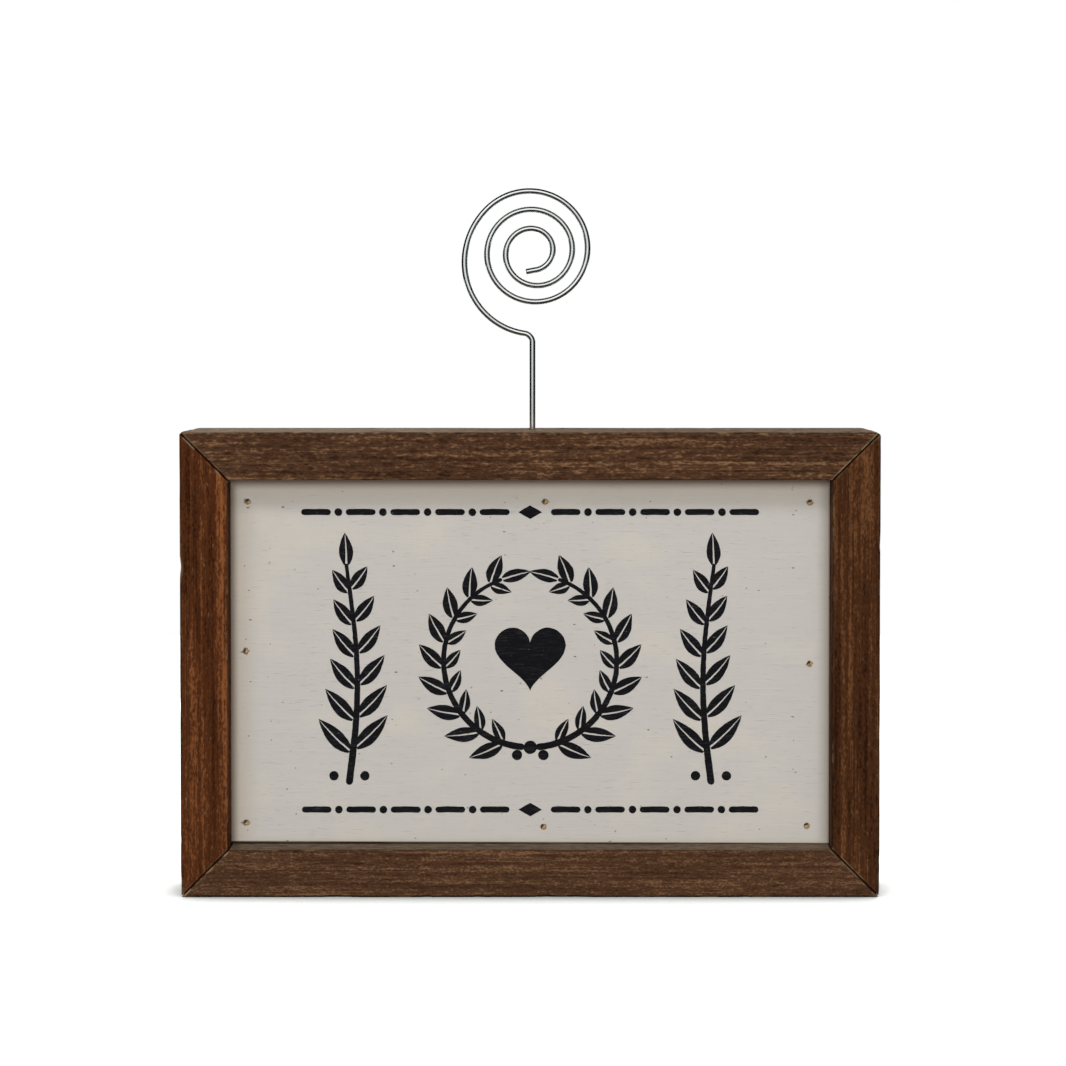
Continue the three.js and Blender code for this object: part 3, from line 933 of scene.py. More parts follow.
def painted_board(board):
    """Flat off-white paint that lets the fine grain through, over a raw brown back."""
    finish = new_finish("painted_board")
    place = finish.mark("in_wood", "Vector")
    cloud, cover = finish.clouds(place, BOARD_CLOUDS)
    paint = board.paint_colour
    colour = finish.blend(mixed(cloud, PAINT_WEIGHTS), scaled(paint, PAINT_SHADOW), paint)
    colour = finish.blend(cover["patches"], colour, scaled(paint, PAINT_TINT))
    colour = finish.darken(cover["thin"], colour, THIN_FACTOR)
    # Distance to the frame, for the painted bounce light and for the grime and painted shade
    to_frame = finish.mark("to_frame")
    # Painted bounce light: the paint turns warmer near the brown frame, as if lit by light off the wood
    bounce_tint = (1 - to_frame.ramp(*BOUNCE_TINT_REACH)) * cloud["lines"].spread(*BOUNCE_TINT_SPREAD)
    colour = finish.blend(bounce_tint, colour, scaled(paint, PAINT_BOUNCE_TINT))
    # Grime and painted shade where the frame shades the board's edges
    grime_and_shade = (1 - to_frame.ramp(*GRIME_AND_SHADE_REACH)) * GRIME_AND_SHADE_COVER
    colour = finish.blend(grime_and_shade, colour, from_screen(*GRIME_AND_SHADE))
    # Painted shadow of the gap under the board's foot
    foot_shadow_line = finish.mark("foot_shadow_line") * cloud["patches"].spread(*FOOT_SHADOW_SPREAD)
    colour = finish.blend(foot_shadow_line, colour, from_screen(*FOOT_SHADOW))
    for speck, cover_share, tone in SPECKS:
        colour = finish.blend(finish.spots(place, *speck) * cover_share, colour, from_screen(*tone))
    back_tone = mixed(cloud, BACK_WEIGHTS).ramp(*BACK_TONE)
    back = finish.blend(back_tone, scaled(board.back_colour, BACK_DARK), board.back_colour)
    colour = finish.blend(finish.mark("painted"), back, colour)
    height = mixed(cloud, PAINT_RELIEF) - cloud["thin"].ramp(*THIN_RELIEF) * THIN_DEPTH
    roughness = cloud["lines"].spread(*PAINT_ROUGHNESS)
    return finish.dress(colour, roughness, height, PAINT_DEPTH, PAINT_GLOSS)


def print_ink(board):
    """Flat black ink, with the paint showing through in pinholes along the grain."""
    finish = new_finish("print_ink")
    cloud, cover = finish.clouds(finish.millimetres(), INK_CLOUDS)
    grain = cloud["grain"]
    worn = [channel * INK_WORN + INK_LEAST for channel in board.ink_colour]
    colour = finish.blend(grain.ramp(*INK_FADE), board.ink_colour, worn)
    missing = cover["pinholes"] * grain.ramp(*INK_MISSING)
    colour = finish.blend(missing, colour, board.paint_colour)
    height = mixed(cloud, INK_RELIEF)
    return finish.dress(colour, grain.spread(*INK_ROUGHNESS), height, INK_DEPTH, INK_GLOSS)


def dry_filler(board):
    """Crumbly ochre filler, with painted shade on its side towards the gap."""
    finish = new_finish("dry_filler")
    crumbs = finish.cloud(finish.millimetres(), *FILLER_CLOUD)
    dark, pale = (scaled(board.filler_colour, factor) for factor in FILLER_FACTORS)
    pale = np.minimum(pale, 1.0)
    colour = finish.blend(crumbs.ramp(*FILLER_DARK), dark, board.filler_colour)
    colour = finish.blend(crumbs.ramp(*FILLER_PALE), colour, pale)
    # Painted shade on the filler's side towards the gap
    colour = finish.blend(finish.mark("gap_shade"), colour, from_screen(*FILLER_GAP_SHADE))
    return finish.dress(colour, FILLER_ROUGHNESS, crumbs, FILLER_DEPTH)


def drawn_steel(metal):
    """Bright drawn wire, with fine lines along it and a few dull patches."""
    finish = new_finish("bright_wire")
    cloud, cover = finish.clouds(finish.mark("in_wire", "Vector"), WIRE_CLOUDS)
    dull = scaled(metal.wire_colour, WIRE_DULL)
    colour = finish.blend(cover["patches"] + cover["lines"], metal.wire_colour, dull)
    colour = finish.blend(finish.mark("burr") * BURR_COVER, colour, from_screen(*BURR))
    roughness = cloud["patches"].ramp(*WIRE_SATIN).spread(*WIRE_ROUGHNESS)
    roughness = roughness + cloud["lines"] * WIRE_LINE_ROUGHNESS
    return finish.dress(colour, roughness, cloud["lines"], WIRE_DEPTH, {"Metallic": 1.0})


def tarnished_steel(metal):
    """Dull brad steel with brown tarnish."""
    finish = new_finish("brad_steel")
    tarnish = finish.cloud(finish.millimetres(), *TARNISH_CLOUD)
    colour = finish.blend(tarnish.ramp(*TARNISHED), metal.brad_colour, from_screen(*TARNISH))
    metallic = tarnish.ramp(*TARNISH_DULL).spread(*TARNISH_METAL)
    roughness = tarnish.spread(*TARNISH_ROUGHNESS)
    return finish.dress(colour, roughness, tarnish, TARNISH_DEPTH, {"Metallic": metallic})


def background_rays(finish):
    """1 for the rays that see the background: from the camera, off gloss, or through glass."""
    camera, glossy, transmission = (
        finish.node("ShaderNodeLightPath", output=name)
        for name in ("Is Camera Ray", "Is Glossy Ray", "Is Transmission Ray")
    )
    return camera.larger(glossy).larger(transmission)


def studio_floor(stage):
    """A floor that the camera and shiny things see as near white, with the object's shadow kept, and its
    glow darkened by occlusion into a painted contact shadow.
    """
    finish = new_finish("studio_floor")
    fleck = finish.cloud(finish.millimetres(), *FLOOR_CLOUD)
    tint = scaled(stage.floor_colour, FLOOR_TINT)
    colour = finish.blend(fleck.ramp(*HALF_TONES), stage.floor_colour, tint)
    plain = finish.node("ShaderNodeBsdfDiffuse", None, {"Color": colour})
    bounce_colour = rgba(scaled(stage.floor_colour, FLOOR_BOUNCE))
    bounce = finish.node("ShaderNodeBsdfDiffuse", None, {"Color": bounce_colour})
    # Painted contact shadow: the floor's glow darkens where the object stands close
    openness = finish.node(
        "ShaderNodeAmbientOcclusion", {"samples": CONTACT_SAMPLES}, {"Distance": CONTACT_REACH}, output="AO"
    )
    contact_shadow = scaled(stage.glow_colour, CONTACT_SHADOW_LEVEL)
    glow_colour = finish.blend(openness.ramp(*CONTACT_OPENNESS), contact_shadow, stage.glow_colour)
    glow_sockets = {"Color": glow_colour, "Strength": FLOOR_GLOW}
    glow = finish.node("ShaderNodeEmission", None, glow_sockets)
    both = finish.node("ShaderNodeAddShader", None, {0: glow, 1: plain})
    seen = background_rays(finish)
    return finish.show(finish.node("ShaderNodeMixShader", None, {0: seen, 1: bounce, 2: both}))


# Stained frame members: where each is, its brads, its wear, its painted shade along the edges (rim), and
# then how its stain looks
FRAME_MEMBERS = {
    "rough_top_rail": {
        "node": "frame_top_rail", "along": 0, "outward": 1, "seed": 3, "takes_wire": True,
        "brads": ("mitre_brad_top_", "cleat_brad_top_"),
        "edges": (1.0, 0.9, 0.5, 1.0), "edge_rub": (1.0, 2.2, 1.0, 1.0), "rim": (0.6, 0.0, 0.3, 0.3),
        "end_rub": (0.4, 0.9), "inner_tone": 0.2, "stained_from": (-26, -8),
        "chips": [(1, -38, 5, 0.4), (1, 58, 11, 0.35), (2, 22, 6, 0.5)],
        "tips": [(-1, 0.05, 1.4), (1, 0.5, 1.4)],
        "shift": 3.7, "flecks": (2.6, 0.65), "grit": (0.9, 0.42), "mix": (0.17, 0.23, 0.28, 0.32),
        "light": 0.92, "depth": 0.95, "tint": (1.0, 1.0, 0.98),
    },
    "rough_bottom_rail": {
        "node": "frame_bottom_rail", "along": 0, "outward": -1, "seed": 17,
        "brads": ("mitre_brad_bottom_", "cleat_brad_bottom_"),
        "edges": (1.0, 0.45, 1.0, 1.0), "rim": (0.1, 4.0, 1.5, 0.1),
        "end_rub": (1.4, 0.5), "inner_tone": 0.64,
        "chips": [(1, -39, 3, 0.6), (1, 8, 4, 0.25), (0, -63.5, 2.2, 0.7)],
        "tips": [(-1, 0.1, 0.6), (1, 0.25, 0.8)],
        "shift": 57.3, "flecks": (2.0, 0.5), "grit": (0.65, 0.34), "mix": (0.16, 0.24, 0.26, 0.34),
        "light": 0.68, "depth": 0.85, "tint": (1.02, 1.02, 1.0),
    },
    "rough_left_stile": {
        "node": "frame_left_stile", "along": 2, "outward": -1, "seed": 29,
        "brads": ("mitre_brad_top_left", "mitre_brad_bottom_left", "cleat_brad_left_"),
        "rim": (0.7, 0.9, 0.8, 0.5), "end_rub": (0.2, 1.0),
        "chips": [(1, 19, 1.2, 0.8), (1, -8, 1.6, 0.6), (1, -43, 1.8, 0.7)],
        "tips": [(1, 0.1, 0.9), (-1, 0.1, 0.6)],
        "shift": 91.1, "flecks": (3.2, 0.7), "grit": (1.0, 0.44), "mix": (0.32, 0.26, 0.18, 0.24),
        "light": 0.9, "depth": 0.95, "tint": (1.03, 1.0, 0.97),
    },
    "rough_right_stile": {
        "node": "frame_right_stile", "along": 2, "outward": 1, "seed": 41,
        "brads": ("mitre_brad_top_right", "mitre_brad_bottom_right", "cleat_brad_right_"),
        "rim": (0.7, 0.9, 0.8, 0.5), "end_rub": (0.5, 0.3),
        "chips": [(1, 24, 1.5, 0.6), (1, -14, 3, 0.5)],
        "tips": [(1, 0.45, 1.1), (-1, 0.3, 0.8)],
        "shift": 133.9, "flecks": (3.0, 0.7), "grit": (0.9, 0.42), "mix": (0.3, 0.28, 0.18, 0.24),
        "light": 0.75, "depth": 0.95, "tint": (0.8, 0.92, 1.05),
    },
}
CLEATS = {
    "rough_cleat_top": {
        "node": "cleat_top", "along": 0, "outward": 1, "seed": 61, "wear": 0.8,
        "brads": ("cleat_brad_top_", "board_brad_top_"),
    },
    "rough_cleat_bottom": {
        "node": "cleat_bottom", "along": 0, "outward": -1, "seed": 67, "wear": 0.8,
        "brads": ("cleat_brad_bottom_", "board_brad_bottom_"),
    },
    "rough_cleat_left": {
        "node": "cleat_left", "along": 2, "outward": -1, "seed": 71, "wear": 0.8,
        "brads": ("cleat_brad_left_", "board_brad_middle_left"),
    },
    "rough_cleat_right": {
        "node": "cleat_right", "along": 2, "outward": 1, "seed": 79, "wear": 0.8,
        "brads": ("cleat_brad_right_", "board_brad_middle_right"),
    },
}
MITRE_FIT = 0.06 * MM
STEM_HOLE_CLEARANCE = 0.1 * MM
STEM_HOLE_DEPTH = 8.6 * MM
STEM_HOLE_SIDES = 28
STEM_HOLE_RAGGEDNESS = 0.02
STEM_HOLE_SEED = 5


def stem_mouth():
    """Where the wire's stem comes out of the top rail, which is where its joint is."""
    joint = next(one for one in frame["joints"] if one["child"] == "clip")
    return Vector(joint["pos_m"])


def wire_radius():
    """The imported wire's radius, which is half of its depth from front to back."""
    low, high = WIRE_BOX
    return (high.y - low.y) / 2


def build_bar(name, member, slope, fit, wood):
    """Makes one bar, drills it, and keeps where each of its points is in the wood, in millimetres."""
    bar = Bar(member, slope, fit)
    piece = bar.build(name, wood)
    cutters = brad_cutters(member["brads"], member["seed"])
    if member.get("takes_wire"):
        radius = wire_radius() + STEM_HOLE_CLEARANCE
        profile = [(-HOLE_MOUTH, radius), (STEM_HOLE_DEPTH, radius)]
        sides, raggedness, seed = STEM_HOLE_SIDES, STEM_HOLE_RAGGEDNESS, STEM_HOLE_SEED
        cutters.append(lathe_cutter(profile, stem_mouth(), (0, 0, -1), sides, raggedness, seed))
    cut_away(piece, cutters)
    store(piece, "in_wood", bar.to_bar(points_of(piece)) / MM)
    shade(piece)
    return piece


def build_frame_members(wood):
    """The four mitred, stained and worn members, drilled for the wire and the brads."""
    rail_tones = (wood.rail_colour, wood.rail_dark, wood.rail_light)
    stile_tones = (wood.stile_colour, wood.stile_dark, wood.stile_light)
    for name, member in FRAME_MEMBERS.items():
        piece = build_bar(name, member, 1, MITRE_FIT, wood)
        tones = rail_tones if member["along"] == 0 else stile_tones
        finish = stained_wood(name.replace("rough", "stained"), tones, member, wood)
        piece.data.materials.append(finish)
        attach(piece, "sign")
        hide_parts(member["node"])


def build_cleats(wood):
    """The four raw sticks behind the board."""
    finish = raw_wood(wood)
    for name, member in CLEATS.items():
        piece = build_bar(name, member, 0, 0.0, wood)
        piece.data.materials.append(finish)
        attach(piece, "sign")
        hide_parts(member["node"])


# Painted board
BOARD_BORDER = np.array([0, 0.06, 0.15, 0.3, 0.42, 0.6]) * MM
BOARD_STEPS = (1.1 * MM, 0.8 * MM)
BOARD_EDGE_RADIUS = 0.14 * MM
BOARD_EDGE_ROUNDNESS = 0.96
BOARD_SWAY = 0.035 * MM
BOARD_SWAY_SIZE = (38 * MM, 1, 24 * MM)
BOARD_SWAY_SEED = 91
BOARD_RAGGED = 0.05 * MM
BOARD_RAGGED_SIZE = (2.4 * MM, 1, 2.4 * MM)
BOARD_RAGGED_SEED = 93
BOARD_HOLE_SEED = 200
BOARD_FIT = 0.45 * MM
BOARD_HEM = 8 * MM
# Grime and painted shade by the frame: each side's distance is scaled by its factor, so it is wide at the
# left and narrow at the right and bottom; at the top it reaches a millimetre further
GRIME_AND_SHADE_FACTORS = {"left": 0.95, "right": 3.0, "lower": 3.6}
TOP_GRIME_AND_SHADE_DROP = 1.0 * MM
# How far up the board the painted shadow of the gap at its foot reaches
FOOT_SHADOW_REACH = (0.34 * MM, 0.58 * MM)
PAINT_STARTS = 0.4 * MM
PAINT_FULL = 0.9 * MM


def board_front(x, z):
    """Where the board's front is in Y: it sways a little behind the flat one."""
    sway = BOARD_SWAY * (1 + noise(rows(x, 0.0, z), BOARD_SWAY_SIZE, BOARD_SWAY_SEED))
    return BOARD_BOX[0].y + sway.reshape(np.shape(x))


def border_line(low, high, step):
    """Grid places from low to high, closer together by the borders."""
    count = round((high - low - 2 * BOARD_BORDER[-1]) / step)
    inside = np.linspace(low + BOARD_BORDER[-1], high - BOARD_BORDER[-1], count + 1)[1:-1]
    return np.concatenate([low + BOARD_BORDER, inside, (high - BOARD_BORDER)[::-1]])


def build_board(board):
    """The painted board, a little out of square, with a hole at every brad."""
    low, high = (corner.copy() for corner in BOARD_BOX)
    for axis in (0, 2):
        low[axis] -= BOARD_FIT
        high[axis] += BOARD_FIT
    across = border_line(low.x, high.x, BOARD_STEPS[0])
    up = border_line(low.z, high.z, BOARD_STEPS[1])
    x, z = np.meshgrid(across, up, indexing="ij")
    to_side = np.minimum(x - low.x, high.x - x)
    to_end = np.minimum(z - low.z, high.z - z)
    # Distance to the grime and painted shade that the frame's edges cast on the recessed board
    to_grime_and_shade = np.minimum.reduce([
        (x - low.x) * GRIME_AND_SHADE_FACTORS["left"],
        (high.x - x) * GRIME_AND_SHADE_FACTORS["right"],
        (z - low.z) * GRIME_AND_SHADE_FACTORS["lower"],
        high.z - z - TOP_GRIME_AND_SHADE_DROP,
    ])
    # Painted shadow along the board's foot, where the gap above the ledge is in shade
    foot_shadow_line = 1 - ramp(z - low.z, *FOOT_SHADOW_REACH)
    ragged = 1 + noise(rows(x, 0.0, z), BOARD_RAGGED_SIZE, BOARD_RAGGED_SEED).reshape(x.shape)
    ragged = BOARD_RAGGED * ragged
    middle_x = (low.x + high.x) / 2
    middle_z = (low.z + high.z) / 2
    x = x - np.sign(x - middle_x) * ragged * (to_side <= 0)
    z = z - np.sign(z - middle_z) * ragged * (to_end <= 0)
    rise = (high.z - z) / (high.z - low.z)
    z = z - board.out_of_square * rise * (x - middle_x) / (high.x - middle_x)
    rounding = sunk(np.minimum(to_side, to_end), BOARD_EDGE_RADIUS, BOARD_EDGE_ROUNDNESS)
    points = np.vstack([rows(x, board_front(x, z) + rounding, z), rows(x, high.y - rounding, z)])
    index = np.arange(x.size).reshape(x.shape)
    quads = np.stack([index[:-1, :-1], index[1:, :-1], index[1:, 1:], index[:-1, 1:]], axis=-1)
    quads = quads.reshape(-1, 4)
    border = np.concatenate([index[:, 0], index[-1, 1:], index[-2::-1, -1], index[0, -2:0:-1]])
    after = np.roll(border, -1)
    rim = np.stack([border, after, after + x.size, border + x.size], axis=-1)
    faces = np.concatenate([quads, quads[:, ::-1] + x.size, rim]).tolist()
    piece = add_object("painted_board", points, faces)
    # Kept for the grime and painted shade by the frame, and for the painted bounce light
    store(piece, "to_frame", np.tile(np.minimum(to_grime_and_shade, BOARD_HEM).ravel(), 2) / MM)
    store(piece, "foot_shadow_line", np.tile(foot_shadow_line.ravel(), 2))
    cut_away(piece, brad_cutters(["board_brad_"], BOARD_HOLE_SEED))
    final = points_of(piece)
    store(piece, "painted", ramp(high.y - final[:, 1], PAINT_STARTS, PAINT_FULL))
    store(piece, "in_wood", final[:, [0, 2, 1]] / MM)
    shade(piece)
    piece.data.materials.append(painted_board(board))
    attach(piece, "sign")
    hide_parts("sign_board")


# Fillers: rings of (share of the radius, depth in millimetres), from the middle out and then inward
FILLER_SIDES = 20
FILLER_RINGS = [(0.35, 0.0), (0.7, 0.02), (0.88, 0.06), (1.0, 0.16), (0.98, 0.28)]
FILLER_REACH = 1.04
FILLER_RAGGEDNESS = 0.05
FILLER_RAGGED_SIZE = (0.625, 0.625, 0.625)
FILLER_CRUMB = 0.03 * MM
FILLER_CRUMB_SIZE = (1 / 3, 1 / 3, 1 / 3)
FILLER_SEEDS = (300, 340)
FILLER_RECESS = 0.03 * MM
FILLER_LEAN = 0.1 * MM
FILLER_FLOOR = 0.36 * MM
FILLER_HEAD_GAP = 0.01 * MM
FILLER_GAP_SHARE = 0.42
FILLER_GAP = (0.35, 0.95)
FILLER_GAP_TURN = math.radians(135)
FILLER_GAP_STRAY = 0.5
FILLER_STRAY_STEP = 2.4
# How the painted shade on the filler rises towards the gap, and its strength
GAP_SHADE_RISE = (0.0, 0.5)
GAP_SHADE_STRENGTH = 0.9


def build_fillers(board):
    """A crumb of dry filler over each brad head in the board, with a dark gap at its upper left and painted
    shade on the filler beside it.
    """
    finish = dry_filler(board)
    angles = full_turn(FILLER_SIDES)
    circle = rows(np.cos(angles), 0.0, np.sin(angles))
    for number, node in enumerate(brads_named("board_brad_")):
        head, _, _, radius = brad_line(node)
        top = board_front(head.x, head.z)
        turn = FILLER_GAP_TURN + FILLER_GAP_STRAY * math.sin(FILLER_STRAY_STEP * number)
        toward_gap = circle[:, 0] * math.cos(turn) + circle[:, 2] * math.sin(turn)
        ragged = noise(circle, FILLER_RAGGED_SIZE, FILLER_SEEDS[0] + number)
        reach = radius * FILLED_MOUTH_SHARE * FILLER_REACH * (1 + FILLER_RAGGEDNESS * ragged)
        reach = reach * (1 - FILLER_GAP_SHARE * ramp(toward_gap, *FILLER_GAP))
        rings = []
        for share, sink in FILLER_RINGS:
            ring = circle * (share * reach)[:, None]
            crumb = noise(circle * share, FILLER_CRUMB_SIZE, FILLER_SEEDS[1] + number)
            ring[:, 1] = FILLER_RECESS + sink * MM + FILLER_LEAN * share * (toward_gap + 1)
            ring[:, 1] += FILLER_CRUMB * crumb
            rings.append(ring)
        bottom = rings[-1].copy()
        bottom[:, 1] = FILLER_FLOOR
        rings.append(bottom)
        middles = np.array([[0, FILLER_RECESS, 0], [0, FILLER_FLOOR, 0]])
        points = np.vstack([*rings, middles]) + np.array([head.x, top, head.z])
        points[:, 1] = np.minimum(points[:, 1], head.y - FILLER_HEAD_GAP)
        name = node.replace("board_brad", "filler")
        piece = add_object(name, points, tube_faces(len(rings), FILLER_SIDES))
        shares = [share for share, _ in FILLER_RINGS] + [1.0]
        # Painted shade, strongest at the filler's rim towards the gap
        gap_shade = ramp(np.outer(shares, toward_gap), *GAP_SHADE_RISE) * GAP_SHADE_STRENGTH
        store(piece, "gap_shade", np.append(gap_shade, [0.0, 0.0]))
        shade(piece)
        piece.data.materials.append(finish)
        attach(piece, "sign")


# Printed ornament: lengths are in millimetres, from the middle of the board, arcs in degrees and turns
# from a stem in radians. A stem is its width at either end, and a tip is a leaf's length, width and bend.
EDGE_STEP = 0.45
EDGE_JITTER = 0.055
JITTER_SIZE = (0.9, 0.9, 0.9)
JITTER_SEED = 401
VEIN_GAP = 0.42
LEAF_STEPS = 15
LEAF_SWELL = (0.85, 0.9)
CAP_STEPS = 7
DOT_SIDES = 18
HEART_STEPS = 64
STEM_STEPS = 40
WREATH_SHARE = 0.56
WREATH_ARC = (-84, 70)
WREATH_STEM = (1.5, 0.8)
WREATH_LEAVES = (-72, 66, 16.8)
WREATH_LEAF_LENGTH = 8.2
WREATH_LEAF_STEP = 0.16
WREATH_LEAF_BEND = 0.1
WREATH_TIP = (7.0, 2.8, 0.08)

# The leaf outside the ring and the one inside it: its side, its turn, its share of the length, its width
WREATH_PAIR = ((1, 0.82, 1.0, 3.3), (-1, 0.92, 0.72, 2.5))
WREATH_BERRIES = ((0, 0, 1.5), (-2.9, -1.7, 1.15), (2.9, -1.7, 1.15))
HEART_UP = 0.6
HEART_SHARE = 0.46
SPRIG_SHARES = {"side": 0.765, "bottom": -0.78, "top": 0.62}
SPRIG_STEM = (1.6, 0.8)
SPRIG_LEAN = (1.8, 1.1)
SPRIG_LEAVES = (0.14, 0.88, 6)
SPRIG_LEAF_BEND = 0.13

# The lowest leaves of a sprig, and how much less each next pair has
SPRIG_LEAF = {"turn": (0.92, 0.03), "length": (10.6, 0.85), "width": (3.6, 0.12)}
SPRIG_PAIR_STEP = 0.4
SPRIG_TIP = (7.6, 3.1, 0.05)
SPRIG_BERRY = (3.4, 1.2, 1.05)
RULE_SHARE = 0.965
RULE_DIAMOND = (2.6, 1.5)
RULE_START = 5.2
RULE_DASH = 5.2
RULE_SLACK = 0.2
RULE_SAG = 0.05
RULE_WIDTH = 1.35
RULE_GAP = 2.3
RULE_DOT = 0.85
RULE_DOT_ROOM = 1
WELD_DISTANCE = 1e-5


def leaf_halves(x, z, angle, length, width, bend):
    """The two halves of a leaf on either side of its vein, as outlines, from a place on its stem."""
    shares = np.linspace(0, 1, LEAF_STEPS)
    swell = np.sin(math.pi * shares ** LEAF_SWELL[0]) ** LEAF_SWELL[1]
    c, s = math.cos(angle), math.sin(angle)
    halves = []
    for side in (1, -1):
        edge = np.stack([shares * length, side * width / 2 * swell], axis=1)
        vein = np.stack([shares * length, side * VEIN_GAP / 2 * (1 - shares) ** 0.5], axis=1)
        outline = np.concatenate([edge[1:], vein[1:-1][::-1]])
        outline[:, 1] += bend * length * (outline[:, 0] / length) ** 2
        halves.append(outline @ np.array([[c, s], [-s, c]]) + np.array([x, z]))
    return halves


def stroke(line, start_width, end_width):
    """The outline of a stroke along a line of points, with rounded ends."""
    line = np.asarray(line, float)
    run = np.gradient(line, axis=0)
    run /= np.linalg.norm(run, axis=1)[:, None]
    side = np.stack([-run[:, 1], run[:, 0]], axis=1)
    widths = np.linspace(start_width, end_width, len(line))[:, None] / 2
    turns = np.linspace(0, math.pi, CAP_STEPS)[1:-1, None]
    end_cap = line[-1] + widths[-1] * (np.cos(turns) * side[-1] + np.sin(turns) * run[-1])
    start_cap = line[0] - widths[0] * (np.cos(turns) * side[0] + np.sin(turns) * run[0])
    right = line - side * widths
    return np.concatenate([line + side * widths, end_cap, right[::-1], start_cap])


def dot(x, z, radius):
    """The outline of a round dot."""
    angles = full_turn(DOT_SIDES)
    return np.stack([x + radius * np.cos(angles), z + radius * np.sin(angles)], axis=1)


def heart(x, z, width):
    """The outline of a plain heart, from a curve that is 32 wide."""
    t = full_turn(HEART_STEPS)
    across = 16 * np.sin(t) ** 3
    up = 13 * np.cos(t) - 5 * np.cos(2 * t) - 2 * np.cos(3 * t) - np.cos(4 * t)
    return np.stack([x + across * width / 32, z + (up + 2) * width / 32], axis=1)


def wreath(radius):
    """Two leafy arcs that rise from the bottom of a ring and leave it open at the top."""
    outlines = []
    for side in (1, -1):

        def on_ring(here):
            """A place on the ring, and the way that its stem heads there."""
            heading = math.atan2(math.cos(here), -side * math.sin(here))
            return side * radius * math.cos(here), radius * math.sin(here), heading

        arc = np.radians(np.linspace(*WREATH_ARC, STEM_STEPS))
        line = np.stack([side * radius * np.cos(arc), radius * np.sin(arc)], axis=1)
        outlines.append(stroke(line, *WREATH_STEM))
        for number, here in enumerate(np.radians(np.arange(*WREATH_LEAVES))):
            x, z, heading = on_ring(here)
            length = WREATH_LEAF_LENGTH - WREATH_LEAF_STEP * number
            for way, turn, share, width in WREATH_PAIR:
                angle = heading - way * side * turn
                bend = way * side * WREATH_LEAF_BEND
                outlines += leaf_halves(x, z, angle, length * share, width, bend)
        length, width, bend = WREATH_TIP
        outlines += leaf_halves(*on_ring(arc[-1]), length, width, side * bend)
    return outlines + [dot(x, z - radius, size) for x, z, size in WREATH_BERRIES]


def sprig(x, bottom, top, side):
    """An upright stem with pairs of leaves and berries, which leans a little to one side."""
    ups = np.linspace(bottom, top, STEM_STEPS)
    share = (ups - bottom) / (top - bottom)
    lean, waves = SPRIG_LEAN
    line = np.stack([x + side * lean * np.sin(share * math.pi * waves), ups], axis=1)
    outlines = [stroke(line, *SPRIG_STEM)]
    for number, at in enumerate(np.linspace(*SPRIG_LEAVES)):
        leaf_x = np.interp(at, share, line[:, 0])
        leaf_z = np.interp(at, share, line[:, 1])
        turn, length, width = (first - step * number for first, step in SPRIG_LEAF.values())
        for way in (1, -1):
            foot = leaf_z + SPRIG_PAIR_STEP * way
            angle = math.pi / 2 - way * turn
            outlines += leaf_halves(leaf_x, foot, angle, length, width, way * SPRIG_LEAF_BEND)
    outlines += leaf_halves(line[-1, 0], line[-1, 1] - SPRIG_PAIR_STEP, math.pi / 2, *SPRIG_TIP)
    aside, up, size = SPRIG_BERRY
    outlines += [dot(line[0, 0] + way * aside, bottom + up, size) for way in (1, -1)]
    return outlines


def rule(half_width, z):
    """A row of dashes and dots with a diamond in its middle."""
    wide, high = RULE_DIAMOND
    outlines = [np.array([[-wide, z], [0, z - high], [wide, z], [0, z + high]])]
    for side in (1, -1):
        x = RULE_START
        while x + RULE_DASH + RULE_SLACK <= half_width:
            ends = [[side * x, z], [side * (x + RULE_DASH), z]]
            middle = [side * (x + RULE_DASH / 2), z + RULE_SAG]
            outlines.append(stroke([ends[0], middle, ends[1]], RULE_WIDTH, RULE_WIDTH))
            x += RULE_DASH + RULE_GAP
            if x + RULE_DOT_ROOM <= half_width:
                outlines.append(dot(side * x, z, RULE_DOT))
            x += RULE_GAP
    return outlines


def roughened(outline):
    """An outline with short steps, and edges as uneven as a hand print's."""
    dense = []
    for a, b in zip(outline, np.roll(outline, -1, axis=0)):
        count = max(1, math.ceil(np.linalg.norm(b - a) / EDGE_STEP))
        dense.append(a + (b - a) * np.linspace(0, 1, count, endpoint=False)[:, None])
    dense = np.concatenate(dense)
    flat = rows(dense[:, 0], dense[:, 1], 0.0)
    return dense + EDGE_JITTER * rows(
        noise(flat, JITTER_SIZE, JITTER_SEED), noise(flat, JITTER_SIZE, JITTER_SEED + 1)
    )


def covered(spots, outlines):
    """Which of the spots (rows of X and Z) lie inside any of the outlines."""
    inked = np.zeros(len(spots), bool)
    for outline in outlines:
        near = np.all((spots >= outline.min(axis=0)) & (spots <= outline.max(axis=0)), axis=1)
        x, z = spots[near].T
        inside = np.zeros(len(x), bool)
        for (x1, z1), (x2, z2) in zip(outline, np.roll(outline, -1, axis=0)):
            spans = (z1 > z) != (z2 > z)
            left = ((z - z1) * (x2 - x1) > (x - x1) * (z2 - z1)) == (z2 > z1)
            inside ^= spans & left
        inked[near] |= inside
    return inked


